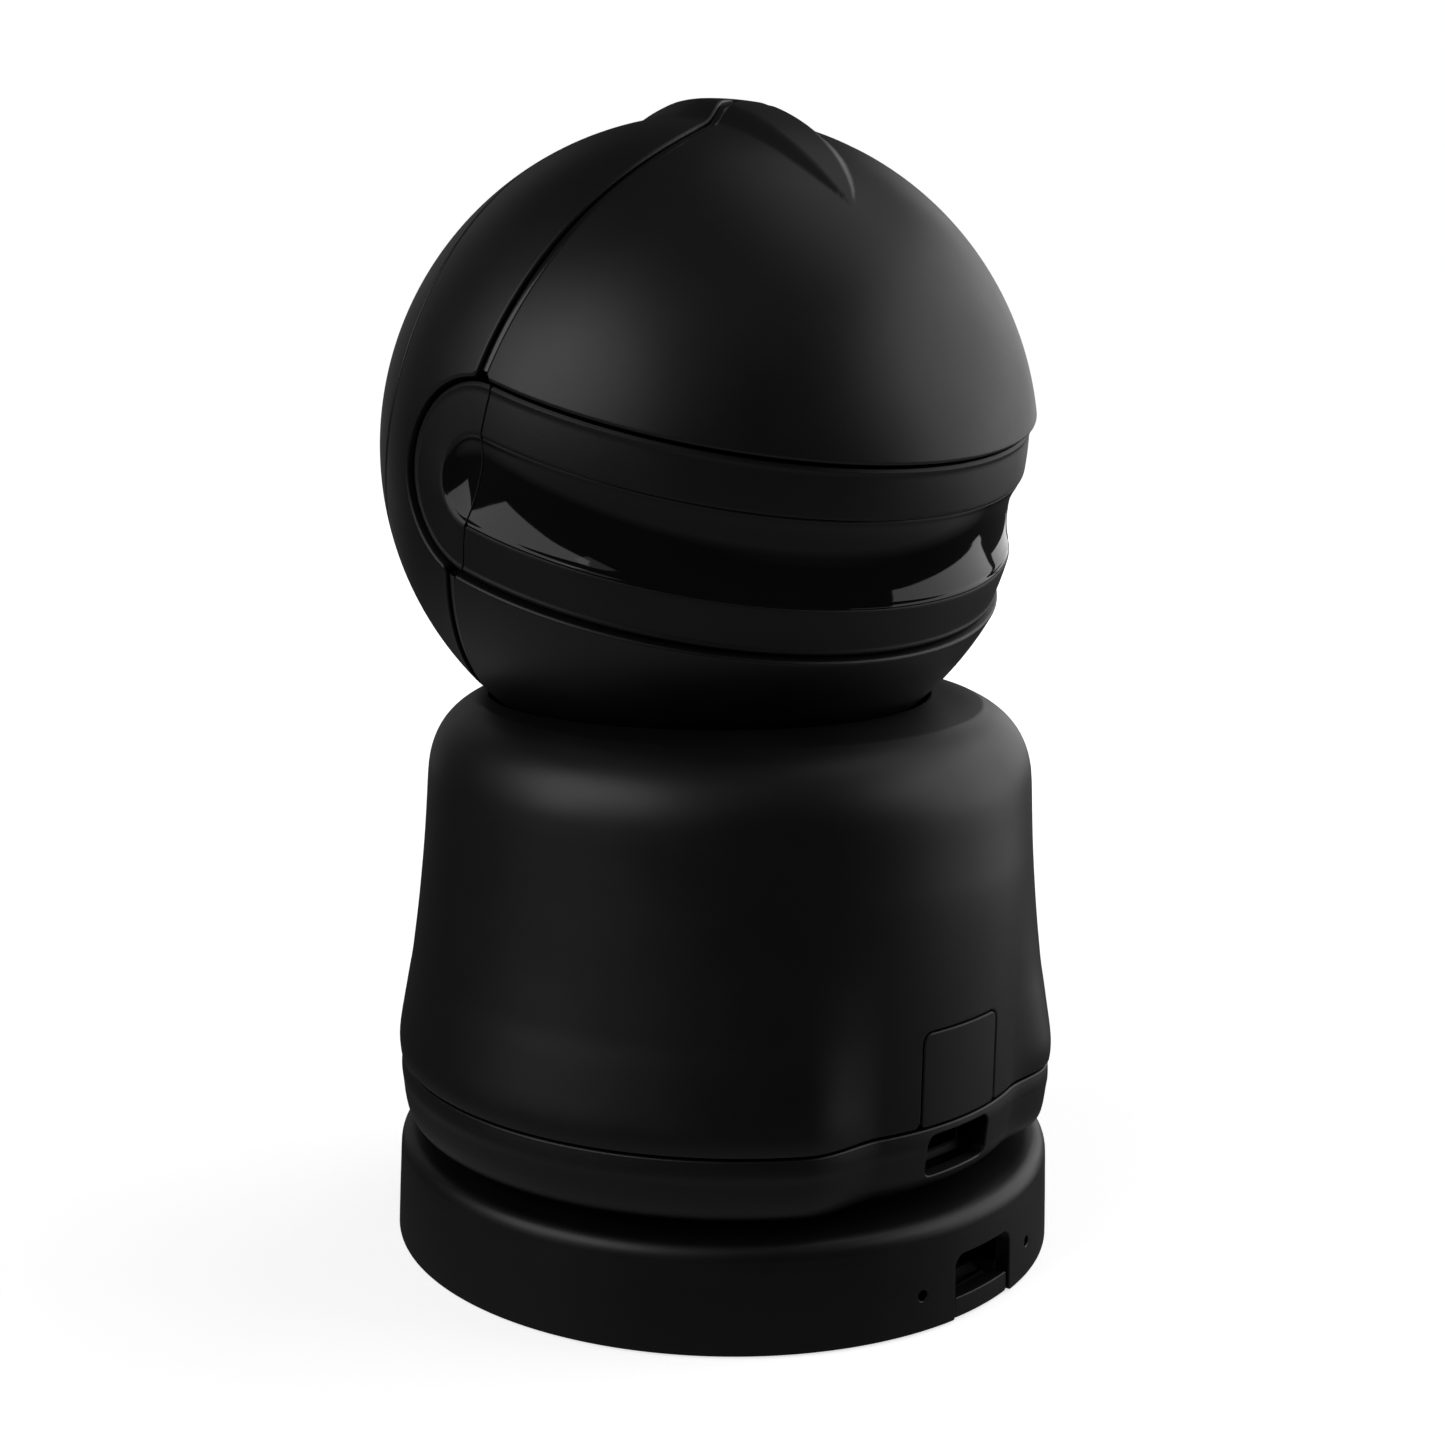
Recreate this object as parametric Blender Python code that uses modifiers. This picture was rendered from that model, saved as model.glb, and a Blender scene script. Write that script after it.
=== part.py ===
"""Pan and tilt security camera: a ball head with a wrap-round visor on a bell-shaped pedestal and a
twist-lock base. Metres, +Z up. The origin is the centre of the underside, and the connector side of
the pedestal faces -Y."""

from math import asin, atan2, cos, exp, pi, radians, sin, sqrt

import bmesh
import bpy
from mathutils import Matrix, Vector

MM = 0.001
GAP = 0.3 * MM  # between two pieces that touch
ROUND_STEPS = 40  # sides of a large turned piece
SMALL_STEPS = 20  # sides of a screw, shaft or motor

# Base
BASE_RADIUS = 49.0 * MM
BASE_TAPER = 0.6 * MM  # how far the wall leans in
BASE_HEIGHT = 15.6 * MM
BASE_WALL = 2.4 * MM
BASE_TWIST = radians(2.1)  # how far the base is turned from the pedestal at rest
PAD_THICKNESS = 1.5 * MM
PAD_PROUD = 0.3 * MM
PLATE_THICKNESS = 1.8 * MM
NOTCH_WIDTH = 12.9 * MM
NOTCH_TOP = 9.6 * MM
CLIP_TOP = 3.3 * MM
PINHOLE_RADIUS = 0.75 * MM
PINHOLE_HEIGHT = 5.5 * MM
PINHOLE_ANGLE = radians(14.7)
BASE_SCREW_INSET = 13.0 * MM  # from the wall to the screws that hold the plate
BOSS_RADIUS = 3.2 * MM
SCREW_RADIUS, SCREW_HEAD_RADIUS, SCREW_HEAD_HEIGHT = 1.3 * MM, 2.8 * MM, 0.7 * MM
BASE_SCREW_TIP = 10.0 * MM
COUNTERBORE_DEPTH = 1.0 * MM
LOCK_RADIUS = 22.0 * MM  # hole in the deck that the twist-lock hub drops into
LOCK_TAB = 3.5 * MM
LOCK_TAB_ANGLE = radians(30)
LOCK_TURN = radians(40)  # from locked to lined up with the notches

# Pedestal
RING_CLEARANCE = 2.6 * MM  # the dark gap over the base
RING_BOTTOM = BASE_HEIGHT + RING_CLEARANCE
RING_HEIGHT = 9.4 * MM
SEAM_HEIGHT = RING_BOTTOM + RING_HEIGHT
SEAM_RADIUS = 48.2 * MM
WALL = 2.2 * MM
RECESS_RADIUS = 44.65 * MM
RECESS_HALF_ANGLE = radians(26.5)
RECESS_BLEND = radians(5.5)
HOUSING_HEIGHT = 53.4 * MM
SHOULDER_HEIGHT = SEAM_HEIGHT + HOUSING_HEIGHT
PEDESTAL_SCREW_TIP = RING_BOTTOM + 9.8 * MM
OPENING_WIDTH, OPENING_HEIGHT = 13.4 * MM, 6.2 * MM
OPENING_MIDDLE = RING_BOTTOM + 5.05 * MM
DOOR_WIDTH, DOOR_HEIGHT, DOOR_CORNER = 16.2 * MM, 13.7 * MM, 1.6 * MM
DOOR_TOP = SEAM_HEIGHT + DOOR_HEIGHT
DOOR_THICKNESS = 1.6 * MM
DOOR_LEG_LENGTH, DOOR_LEG_WIDTH, DOOR_LEG_INSET = 4.4 * MM, 1.0 * MM, 1.6 * MM
DOOR_LEG_FACE = DOOR_WIDTH / 2 - DOOR_LEG_INSET - DOOR_LEG_WIDTH / 2  # inner face of each leg
FLOOR_THICKNESS = 2.0 * MM
BOARD_RADIUS, BOARD_THICKNESS = 33.0 * MM, 1.2 * MM
JACK_WIDTH, JACK_HEIGHT, JACK_DEPTH = 7.5 * MM, 2.6 * MM, 5.6 * MM
CARD_LENGTH, READER_WIDTH = 11.6 * MM, 2.2 * MM
READER_SIDE = DOOR_LEG_FACE - 1.6 * MM
BUTTON_RADIUS = 1.3 * MM
BUTTON_HEIGHT = SEAM_HEIGHT + 7.4 * MM
BUTTON_SIDE = DOOR_LEG_FACE - 1.2 * MM - BUTTON_RADIUS

# Pan drive
PAN_OFFSET = 5.2 * MM  # the ball and its socket stand this far behind the pedestal's middle
DECK_RISE = 21.9 * MM  # of the inner deck above the seam
FRAME_HEIGHT = SEAM_HEIGHT + DECK_RISE
FRAME_THICKNESS = 2.5 * MM
LEG_RADIUS = 2.8 * MM
TABLE_RADIUS, TABLE_THICKNESS = 27.0 * MM, 2.5 * MM
SPIGOT_RADIUS = 8.0 * MM
LEG_CIRCLE = 37.0 * MM
LEG_ANGLES = [radians(100), radians(220), radians(340)]
MODULE = 1.0 * MM
PAN_GEAR_TEETH, TILT_GEAR_TEETH, PINION_TEETH = 48, 24, 12
GEAR_WIDTH = 3.0 * MM
GEAR_SLACK = 0.12 * MM  # added to the distance between a gear and its pinion
PAN_MOTOR_RADIUS, PAN_MOTOR_LENGTH = 12.0 * MM, 18.0 * MM
PAN_MOTOR_ANGLE = radians(50)
SHAFT_RADIUS = 1.5 * MM

# Ball head
BALL_RADIUS = 47.3 * MM
SOCKET_RADIUS = 32.25 * MM  # where the ball would meet the shoulder
BALL_HEIGHT = SHOULDER_HEIGHT + sqrt(BALL_RADIUS**2 - SOCKET_RADIUS**2)  # of its centre
BALL_WALL = 2.4 * MM
PAN_REST = radians(-11.85)
TILT_REST = radians(16)  # front down
TILT_UP, TILT_DOWN = radians(46), radians(4)  # from rest
POST_WIDTH, POST_DEPTH = 12.0 * MM, 8.0 * MM
POST_FLANGE_RADIUS = 14.0 * MM
SLOT_CLEARANCE = 1.0 * MM
SHIELD_THICKNESS = 1.4 * MM
SHIELD_OVERLAP = radians(2)
GROOVE_WIDTH = 1.7 * MM
SEAM_GAP = 0.45 * MM
CREST_HEIGHT = 2.5 * MM
VISOR_MIDDLE = 0.95 * MM
VISOR_HALF_HEIGHT = 13.7 * MM
VISOR_GAP = 0.4 * MM  # between the visor and the shells round it
WINDOW_HALF_HEIGHT = 6.3 * MM
VISOR_SIDE_ANGLE = radians(77.5)  # where the round ends of the visor are centred
VISOR_INSET = 1.0 * MM
VISOR_THICKNESS = 2.0 * MM
WINDOW_INSET = 3.6 * MM
WINDOW_THICKNESS = 1.6 * MM
LENS_RADIUS, LENS_LENGTH = 7.5 * MM, 15.0 * MM
LED_RADIUS, LED_LENGTH, LED_PLANE = 2.3 * MM, 5.2 * MM, 28.0 * MM
LED_PLACES = [-18.5 * MM, -12.5 * MM, 12.5 * MM, 18.5 * MM]
TILT_SHAFT_RADIUS, TILT_SHAFT_LENGTH = 3.0 * MM, 72.0 * MM
HUB_RADIUS, HUB_WIDTH = 6.5 * MM, 18.0 * MM
CHASSIS_DEPTH = 20.0 * MM
TILT_MOTOR_RADIUS, TILT_MOTOR_LENGTH = 10.0 * MM, 14.0 * MM
TILT_MOTOR_ANGLE = radians(45)

# The outside of the pedestal wall above the seam, as (inside SEAM_RADIUS, share of the wall's height)
HOUSING_STEPS = [
    (-0.5, 0.041), (0.55, 0.155), (1.55, 0.27), (2.35, 0.382), (3.0, 0.494), (3.5, 0.607),
    (3.9, 0.719), (4.2, 0.813), (5.0, 0.873), (6.7, 0.921), (9.1, 0.963),
]
HOUSING_PROFILE = [
    (SEAM_RADIUS - inset * MM, SEAM_HEIGHT + share * (SHOULDER_HEIGHT - SEAM_HEIGHT))
    for inset, share in HOUSING_STEPS
]
# The outside of the ring below the seam
RING_PROFILE = [
    (SEAM_RADIUS + 0.30 * MM, SEAM_HEIGHT - 1.6 * MM),
    (SEAM_RADIUS - 0.10 * MM, SEAM_HEIGHT - 4.2 * MM),
    (SEAM_RADIUS - 0.40 * MM, RING_BOTTOM + 2.2 * MM),
    (SEAM_RADIUS - 1.85 * MM, RING_BOTTOM),
]


# ---------------------------------------------------------------- scene helpers


def clear_scene():
    for obj in list(bpy.data.objects):
        bpy.data.objects.remove(obj, do_unlink=True)


def new_collection(name):
    collection = bpy.data.collections.new(name)
    bpy.context.scene.collection.children.link(collection)
    return collection


def plastic(name, colour, roughness, metallic=0.0):
    material = bpy.data.materials.new(name)
    material.use_nodes = True
    surface = material.node_tree.nodes["Principled BSDF"]
    surface.inputs["Base Color"].default_value = (*colour, 1)
    surface.inputs["Roughness"].default_value = roughness
    surface.inputs["Metallic"].default_value = metallic
    material.diffuse_color = (*colour, 1)
    return material


def empty(name, matrix, parent=None):
    obj = bpy.data.objects.new(name, None)
    obj.empty_display_size = 10 * MM
    CAMERA.objects.link(obj)
    obj.parent = parent
    obj.matrix_local = matrix
    return obj


def add_object(name, bm, material, parent):
    """A node of the model, or a cutter when it has no material."""
    mesh = bpy.data.meshes.new(name)
    bmesh.ops.recalc_face_normals(bm, faces=bm.faces)
    bm.to_mesh(mesh)
    bm.free()
    obj = bpy.data.objects.new(name, mesh)
    if material:
        mesh.materials.append(material)
        CAMERA.objects.link(obj)
    else:
        CUTTERS.objects.link(obj)
        obj.hide_render = True
        obj.display_type = "WIRE"
    obj.parent = parent
    return obj


def combine(obj, other, operation):
    modifier = obj.modifiers.new(other.name, "BOOLEAN")
    modifier.operation = operation
    modifier.solver = "EXACT"
    modifier.object = other
    return obj


def cut(obj, *cutters):
    for cutter in cutters:
        combine(obj, cutter, "DIFFERENCE")
    return obj


def join(obj, *others):
    for other in others:
        combine(obj, other, "UNION")
    return obj


def keep(obj, region):
    return combine(obj, region, "INTERSECT")


# ---------------------------------------------------------------- shape helpers

TO_X = Matrix.Rotation(pi / 2, 4, "Y")  # turns a shape made along Z to lie along X
TO_FRONT = Matrix.Rotation(pi / 2, 4, "X")  # turns it to point along -Y


def box(name, low, high, material=None, parent=None):
    bm = bmesh.new()
    bmesh.ops.create_cube(bm, size=1)
    low, high = Vector(low), Vector(high)
    bmesh.ops.scale(bm, vec=high - low, verts=bm.verts)
    bmesh.ops.translate(bm, vec=(low + high) / 2, verts=bm.verts)
    return add_object(name, bm, material, parent)


def rod(name, radius, low, high, centre=(0, 0), material=None, parent=None, turn=None, sides=SMALL_STEPS):
    """A cylinder along Z from low to high about centre, then turned."""
    bm = bmesh.new()
    bmesh.ops.create_cone(
        bm, cap_ends=True, segments=sides, radius1=radius, radius2=radius, depth=high - low
    )
    bmesh.ops.translate(bm, vec=(*centre, (low + high) / 2), verts=bm.verts)
    if turn:
        bmesh.ops.transform(bm, matrix=turn, verts=bm.verts)
    return add_object(name, bm, material, parent)


def prism(name, outline, low, high, material=None, parent=None, turn=None):
    """A flat outline in X and Y, raised from low to high along Z, then turned."""
    bm = bmesh.new()
    face = bm.faces.new([bm.verts.new((x, y, low)) for x, y in outline])
    raised = bmesh.ops.extrude_face_region(bm, geom=[face])["geom"]
    moved = [item for item in raised if isinstance(item, bmesh.types.BMVert)]
    bmesh.ops.translate(bm, vec=(0, 0, high - low), verts=moved)
    if turn:
        bmesh.ops.transform(bm, matrix=turn, verts=bm.verts)
    return add_object(name, bm, material, parent)


def turned(name, profile, material=None, parent=None, closed=True, steps=ROUND_STEPS):
    """A profile of (radius, height) turned about Z. It runs down its outer side."""
    bm = bmesh.new()
    points = [bm.verts.new((radius, 0, height)) for radius, height in profile]
    pairs = list(zip(points, points[1:]))
    if closed:
        pairs.append((points[-1], points[0]))
    for pair in pairs:
        bm.edges.new(pair)
    obj = add_object(name, bm, material, parent)
    screw = obj.modifiers.new("Turn", "SCREW")
    screw.steps = steps
    screw.render_steps = steps
    screw.use_merge_vertices = True
    screw.merge_threshold = 0.00001
    return obj


def loft(name, loops, material=None, parent=None):
    """Closed loops of the same number of points, joined in turn and back to the first."""
    bm = bmesh.new()
    rows = [[bm.verts.new(point) for point in loop] for loop in loops]
    for row, after in zip(rows, rows[1:] + rows[:1]):
        for index in range(len(row)):
            following = (index + 1) % len(row)
            bm.faces.new((row[index], row[following], after[following], after[index]))
    return add_object(name, bm, material, parent)


def rounded_rectangle(width, low, high, corner, steps=4, bottom_corner=True):
    """Outline about x = 0, anticlockwise from its lower right corner."""
    outline = []
    half = width / 2
    for x, y, start, rounded in (
        (half, low, -pi / 2, bottom_corner),
        (half, high, 0, True),
        (-half, high, pi / 2, True),
        (-half, low, pi, bottom_corner),
    ):
        if not rounded:
            outline.append((x, y))
            continue
        middle_x = x - corner if x > 0 else x + corner
        middle_y = y + corner if y == low else y - corner
        for step in range(steps + 1):
            angle = start + pi / 2 * step / steps
            outline.append((middle_x + corner * cos(angle), middle_y + corner * sin(angle)))
    return outline


def gear_outline(teeth, phase=0.0):
    """Trapezium teeth on a pitch circle of teeth * MODULE / 2, slimmed a little so that a pair runs free."""
    pitch = teeth * MODULE / 2
    tip, root = pitch + 0.85 * MODULE, pitch - 1.1 * MODULE
    tooth = 2 * pi / teeth
    outline = []
    for number in range(teeth):
        middle = phase + number * tooth
        for radius, share in ((root, -0.29), (tip, -0.12), (tip, 0.12), (root, 0.29)):
            angle = middle + share * tooth
            outline.append((radius * cos(angle), radius * sin(angle)))
    return outline


def outward(radius, angle, centre=(0, 0)):
    """The point at this radius and angle from -Y, positive towards +X."""
    return centre[0] + radius * sin(angle), centre[1] - radius * cos(angle)


# ---------------------------------------------------------------- base


def build_base():
    deck_low = BASE_HEIGHT - BASE_WALL
    inner = BASE_RADIUS - BASE_TAPER - BASE_WALL
    top = BASE_RADIUS - BASE_TAPER
    shell = turned(
        "base_shell",
        [
            (LOCK_RADIUS, BASE_HEIGHT),
            (top - 2.0 * MM, BASE_HEIGHT),
            (top - 0.7 * MM, BASE_HEIGHT - 0.5 * MM),
            (top, BASE_HEIGHT - 1.8 * MM),
            (BASE_RADIUS, PAD_PROUD),
            (inner, PAD_PROUD),
            (inner, deck_low),
            (LOCK_RADIUS, deck_low),
        ],
        SHELL_BLACK,
        TWIST,
    )
    plate_low = PAD_THICKNESS + GAP
    plate_high = plate_low + PLATE_THICKNESS
    plate_radius = inner - GAP
    plate = rod("base_plate", plate_radius, plate_low, plate_high, (0, 0), INNER_BLACK, TWIST,
                sides=ROUND_STEPS)
    rod("foot_pad", plate_radius - 2 * MM, 0, PAD_THICKNESS, (0, 0), RUBBER, TWIST, sides=ROUND_STEPS)

    for number in range(3):
        angle = radians(60 + 120 * number)
        centre = outward(BASE_RADIUS - BASE_SCREW_INSET, angle)
        boss = rod(f"base_boss_{number + 1}", BOSS_RADIUS, plate_high + GAP, deck_low + 1 * MM, centre,
                   None, TWIST)
        hole = rod(f"base_boss_hole_{number + 1}", SCREW_RADIUS + GAP, plate_low - 1 * MM,
                   BASE_SCREW_TIP + 0.5 * MM,
                   centre, None, TWIST)
        counterbore = rod(
            f"plate_counterbore_{number + 1}", SCREW_HEAD_RADIUS + GAP, plate_low - 1 * MM,
            plate_low + COUNTERBORE_DEPTH, centre, None, TWIST
        )
        join(shell, boss)
        cut(shell, hole)
        cut(plate, hole, counterbore)
        turned_screw(f"base_screw_{number + 1}", centre, plate_low, BASE_SCREW_TIP, TWIST)

    # The three tabs of the pedestal's hub pass down through these and turn under the deck.
    for number in range(3):
        middle = LOCK_TURN + radians(120 * number)
        cut(shell, sector(f"lock_notch_{number + 1}", LOCK_RADIUS - 2 * MM,
                          LOCK_RADIUS + LOCK_TAB + 0.6 * MM,
                          middle, LOCK_TAB_ANGLE / 2 + radians(3), deck_low - 1 * MM,
                          BASE_HEIGHT + 1 * MM, TWIST))

    notch = prism(
        "cable_notch", rounded_rectangle(NOTCH_WIDTH, -2 * MM, NOTCH_TOP, 1.8 * MM),
        inner - 3 * MM, BASE_RADIUS + 5 * MM, None, TWIST, TO_FRONT,
    )
    cut(shell, notch)
    cut(plate, box("plate_relief", (-NOTCH_WIDTH / 2, -BASE_RADIUS, plate_low - 1 * MM),
                   (NOTCH_WIDTH / 2, -(inner - 3 * MM), plate_high + 1 * MM), None, TWIST))
    for side in (-1, 1):
        turn = Matrix.Rotation(side * PINHOLE_ANGLE, 4, "Z") @ TO_FRONT
        cut(shell, rod(f"pinhole_{'left' if side < 0 else 'right'}", PINHOLE_RADIUS, inner - 2 * MM,
                       BASE_RADIUS + 2 * MM, (0, PINHOLE_HEIGHT), None, TWIST, turn, sides=12))

    clip = turned(
        "cable_notch_clip",
        [
            (BASE_RADIUS - 0.5 * MM, CLIP_TOP),
            (BASE_RADIUS - 0.4 * MM, PAD_PROUD),
            (inner - 1.6 * MM, PAD_PROUD),
            (inner - 1.6 * MM, CLIP_TOP),
        ],
        SHELL_BLACK,
        TWIST,
        steps=4 * ROUND_STEPS,
    )
    keep(clip, box("clip_region", (-NOTCH_WIDTH / 2 + GAP, -BASE_RADIUS - 1 * MM, -1 * MM),
                   (NOTCH_WIDTH / 2 - GAP, -inner + 3 * MM, CLIP_TOP + 1 * MM), None, TWIST))


def turned_screw(name, centre, low, tip, parent):
    """A screw with its head down."""
    under_head = low + SCREW_HEAD_HEIGHT
    screw = turned(
        name,
        [(0, tip), (SCREW_RADIUS - 0.5 * MM, tip), (SCREW_RADIUS, tip - 0.8 * MM),
         (SCREW_RADIUS, under_head),
         (SCREW_HEAD_RADIUS, under_head), (SCREW_HEAD_RADIUS, low), (0, low)],
        STEEL, parent, closed=False, steps=14,
    )
    screw.location = (*centre, 0)
    return screw


def sector(name, inner, outer, middle, half, low, high, parent):
    """Part of a ring, from middle - half to middle + half."""
    steps = 6
    angles = [middle - half + 2 * half * step / steps for step in range(steps + 1)]
    outline = [outward(outer, angle) for angle in angles]
    outline += [outward(inner, angle) for angle in reversed(angles)]
    return prism(name, outline, low, high, None, parent)


# ---------------------------------------------------------------- pedestal


def smooth(value):
    value = min(1.0, max(0.0, value))
    return value * value * (3 - 2 * value)


def recess_share(angle):
    """1 on the recessed connector side, 0 on the rest of the wall."""
    return 1 - smooth((abs(angle) - (RECESS_HALF_ANGLE - RECESS_BLEND)) / (2 * RECESS_BLEND))


def wall_radius(radius, angle):
    """The wall's radius once the connector side is pushed in to RECESS_RADIUS."""
    return radius - max(0.0, radius - RECESS_RADIUS) * recess_share(angle)


def column_angles():
    """Evenly spread, with more columns where the wall bends into the recess."""
    bend = [RECESS_HALF_ANGLE + RECESS_BLEND * share for share in (-1.1, -0.5, 0, 0.5, 1.1)]
    recess = [RECESS_HALF_ANGLE * share for share in (0, 0.26, 0.52)]
    rest = [bend[-1] + (pi - bend[-1]) * step / 12 for step in range(1, 13)]
    half = recess + bend + rest
    return [-angle for angle in reversed(half[1:-1])] + half


def at_angle(radius, height, angle):
    return Vector((*outward(radius, angle), height))


def build_lower_ring():
    floor_top = RING_BOTTOM + FLOOR_THICKNESS
    top = SEAM_HEIGHT - GAP / 2 - 0.15 * MM
    loops = []
    for angle in column_angles():
        inset = SEAM_RADIUS - wall_radius(SEAM_RADIUS, angle)
        inner = SEAM_RADIUS - inset - WALL
        profile = [(SEAM_RADIUS - inset, top)]
        profile += [(radius - inset, height) for radius, height in RING_PROFILE]
        profile += [
            (10 * MM, RING_BOTTOM),
            (10 * MM, floor_top),
            (inner, floor_top),
            (inner, top),
        ]
        loops.append([at_angle(radius, height, angle) for radius, height in profile])
    ring = loft("lower_ring", loops, SHELL_BLACK, PEDESTAL)

    # Twist-lock hub below the floor
    hub_low = BASE_HEIGHT - BASE_WALL - 3.0 * MM
    hub = turned("lock_hub", [
        (LOCK_RADIUS - 0.5 * MM, RING_BOTTOM + 1 * MM),
        (LOCK_RADIUS - 0.5 * MM, hub_low),
        (LOCK_RADIUS - 3.0 * MM, hub_low),
        (LOCK_RADIUS - 3.0 * MM, RING_BOTTOM + 1 * MM),
    ], None, PEDESTAL)
    join(ring, hub)
    for number in range(3):
        join(ring, sector(f"lock_tab_{number + 1}", LOCK_RADIUS - 2 * MM, LOCK_RADIUS + LOCK_TAB,
                          radians(120 * number), LOCK_TAB_ANGLE / 2, hub_low + 0.2 * MM,
                          BASE_HEIGHT - BASE_WALL - 0.5 * MM, PEDESTAL))
    low = OPENING_MIDDLE - OPENING_HEIGHT / 2
    cut(ring, prism("connector_opening", rounded_rectangle(OPENING_WIDTH, low, low + OPENING_HEIGHT,
                                                           1.2 * MM),
                    RECESS_RADIUS - WALL - 3 * MM, RECESS_RADIUS + 3 * MM, None, PEDESTAL, TO_FRONT))
    for number, angle in enumerate(LEG_ANGLES):
        centre = outward(LEG_CIRCLE, angle)
        cut(ring,
            rod(f"floor_hole_{number + 1}", SCREW_RADIUS + GAP, RING_BOTTOM - 1 * MM, floor_top + 1 * MM,
                centre,
                None, PEDESTAL),
            rod(f"floor_counterbore_{number + 1}", SCREW_HEAD_RADIUS + GAP, RING_BOTTOM - 1 * MM,
                RING_BOTTOM + COUNTERBORE_DEPTH + 0.1 * MM, centre, None, PEDESTAL))
        turned_screw(f"pedestal_screw_{number + 1}", centre, RING_BOTTOM + 0.1 * MM, PEDESTAL_SCREW_TIP,
                     PEDESTAL)
    return floor_top


def socket_radius(height, clearance=0.0):
    """Radius of the ball, grown by clearance, at this height."""
    return sqrt((BALL_RADIUS + clearance) ** 2 - (BALL_HEIGHT - height) ** 2)


def build_housing():
    """Bell-shaped wall and shoulder, with a round opening that the ball sits in."""
    bottom = SEAM_HEIGHT + GAP / 2 + 0.15 * MM
    shoulder = HOUSING_PROFILE[-1]
    lip_height = SHOULDER_HEIGHT - 0.3 * MM
    lip_low = SHOULDER_HEIGHT - 2.2 * MM
    loops = []
    for angle in column_angles():
        outer = [(wall_radius(radius, angle), height) for radius, height in HOUSING_PROFILE]
        edge = Vector((*outward(socket_radius(lip_height, 0.4 * MM), angle, (0, PAN_OFFSET)), lip_height))
        under = Vector((*outward(socket_radius(lip_low, 0.5 * MM), angle, (0, PAN_OFFSET)), lip_low))
        start = at_angle(*shoulder, angle)
        crown = start.lerp(edge, 0.55)
        crown.z = lip_height + min(1.2 * MM, 0.1 * (start - edge).length)
        bottom_radius = wall_radius(SEAM_RADIUS, angle)
        inner = [(wall_radius(radius, angle) - WALL, height) for radius, height in HOUSING_PROFILE[1:8:2]]
        loop = [at_angle(bottom_radius - WALL, bottom, angle), at_angle(bottom_radius, bottom, angle)]
        loop += [at_angle(radius, height, angle) for radius, height in outer]
        loop += [crown, edge, under]
        inside_edge = at_angle(shoulder[0] - 1.6 * MM, shoulder[1] - 3.2 * MM, angle)
        loop += [under.lerp(inside_edge, 0.85) + Vector((0, 0, -0.2 * MM)),
                 inside_edge - Vector((0, 0, 0.4 * MM))]
        loop += [at_angle(radius, height, angle) for radius, height in reversed(inner)]
        loops.append(loop)
    housing = loft("housing", loops, SHELL_BLACK, PEDESTAL)
    cut(housing, prism("door_opening", door_outline(DOOR_WIDTH, SEAM_HEIGHT - 2 * MM, DOOR_TOP),
                       RECESS_RADIUS - WALL - 2 * MM, RECESS_RADIUS + 4 * MM, None, PEDESTAL, TO_FRONT))


def door_outline(width, low, high):
    return rounded_rectangle(width, low, high, DOOR_CORNER, bottom_corner=False)


def build_service_door():
    low = SEAM_HEIGHT + GAP / 2 + 0.15 * MM
    back = RECESS_RADIUS - DOOR_THICKNESS
    door = turned("service_door", [
        (RECESS_RADIUS, DOOR_TOP), (RECESS_RADIUS, low), (back, low), (back, DOOR_TOP),
    ], DOOR_BLACK, PEDESTAL, steps=4 * ROUND_STEPS)
    keep(door, prism("door_region", door_outline(DOOR_WIDTH - 2 * GAP, low, DOOR_TOP - GAP),
                     back - 3 * MM, RECESS_RADIUS + 2 * MM, None, PEDESTAL, TO_FRONT))
    for side in (-1, 1):
        leg = side * (DOOR_WIDTH / 2 - DOOR_LEG_INSET)
        join(door, box(f"door_leg_{'left' if side < 0 else 'right'}",
                       (leg - DOOR_LEG_WIDTH / 2, -back - 0.6 * MM, DOOR_TOP - 8.3 * MM),
                       (leg + DOOR_LEG_WIDTH / 2, -back + DOOR_LEG_LENGTH, DOOR_TOP - 5.3 * MM), None,
                       PEDESTAL))


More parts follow.
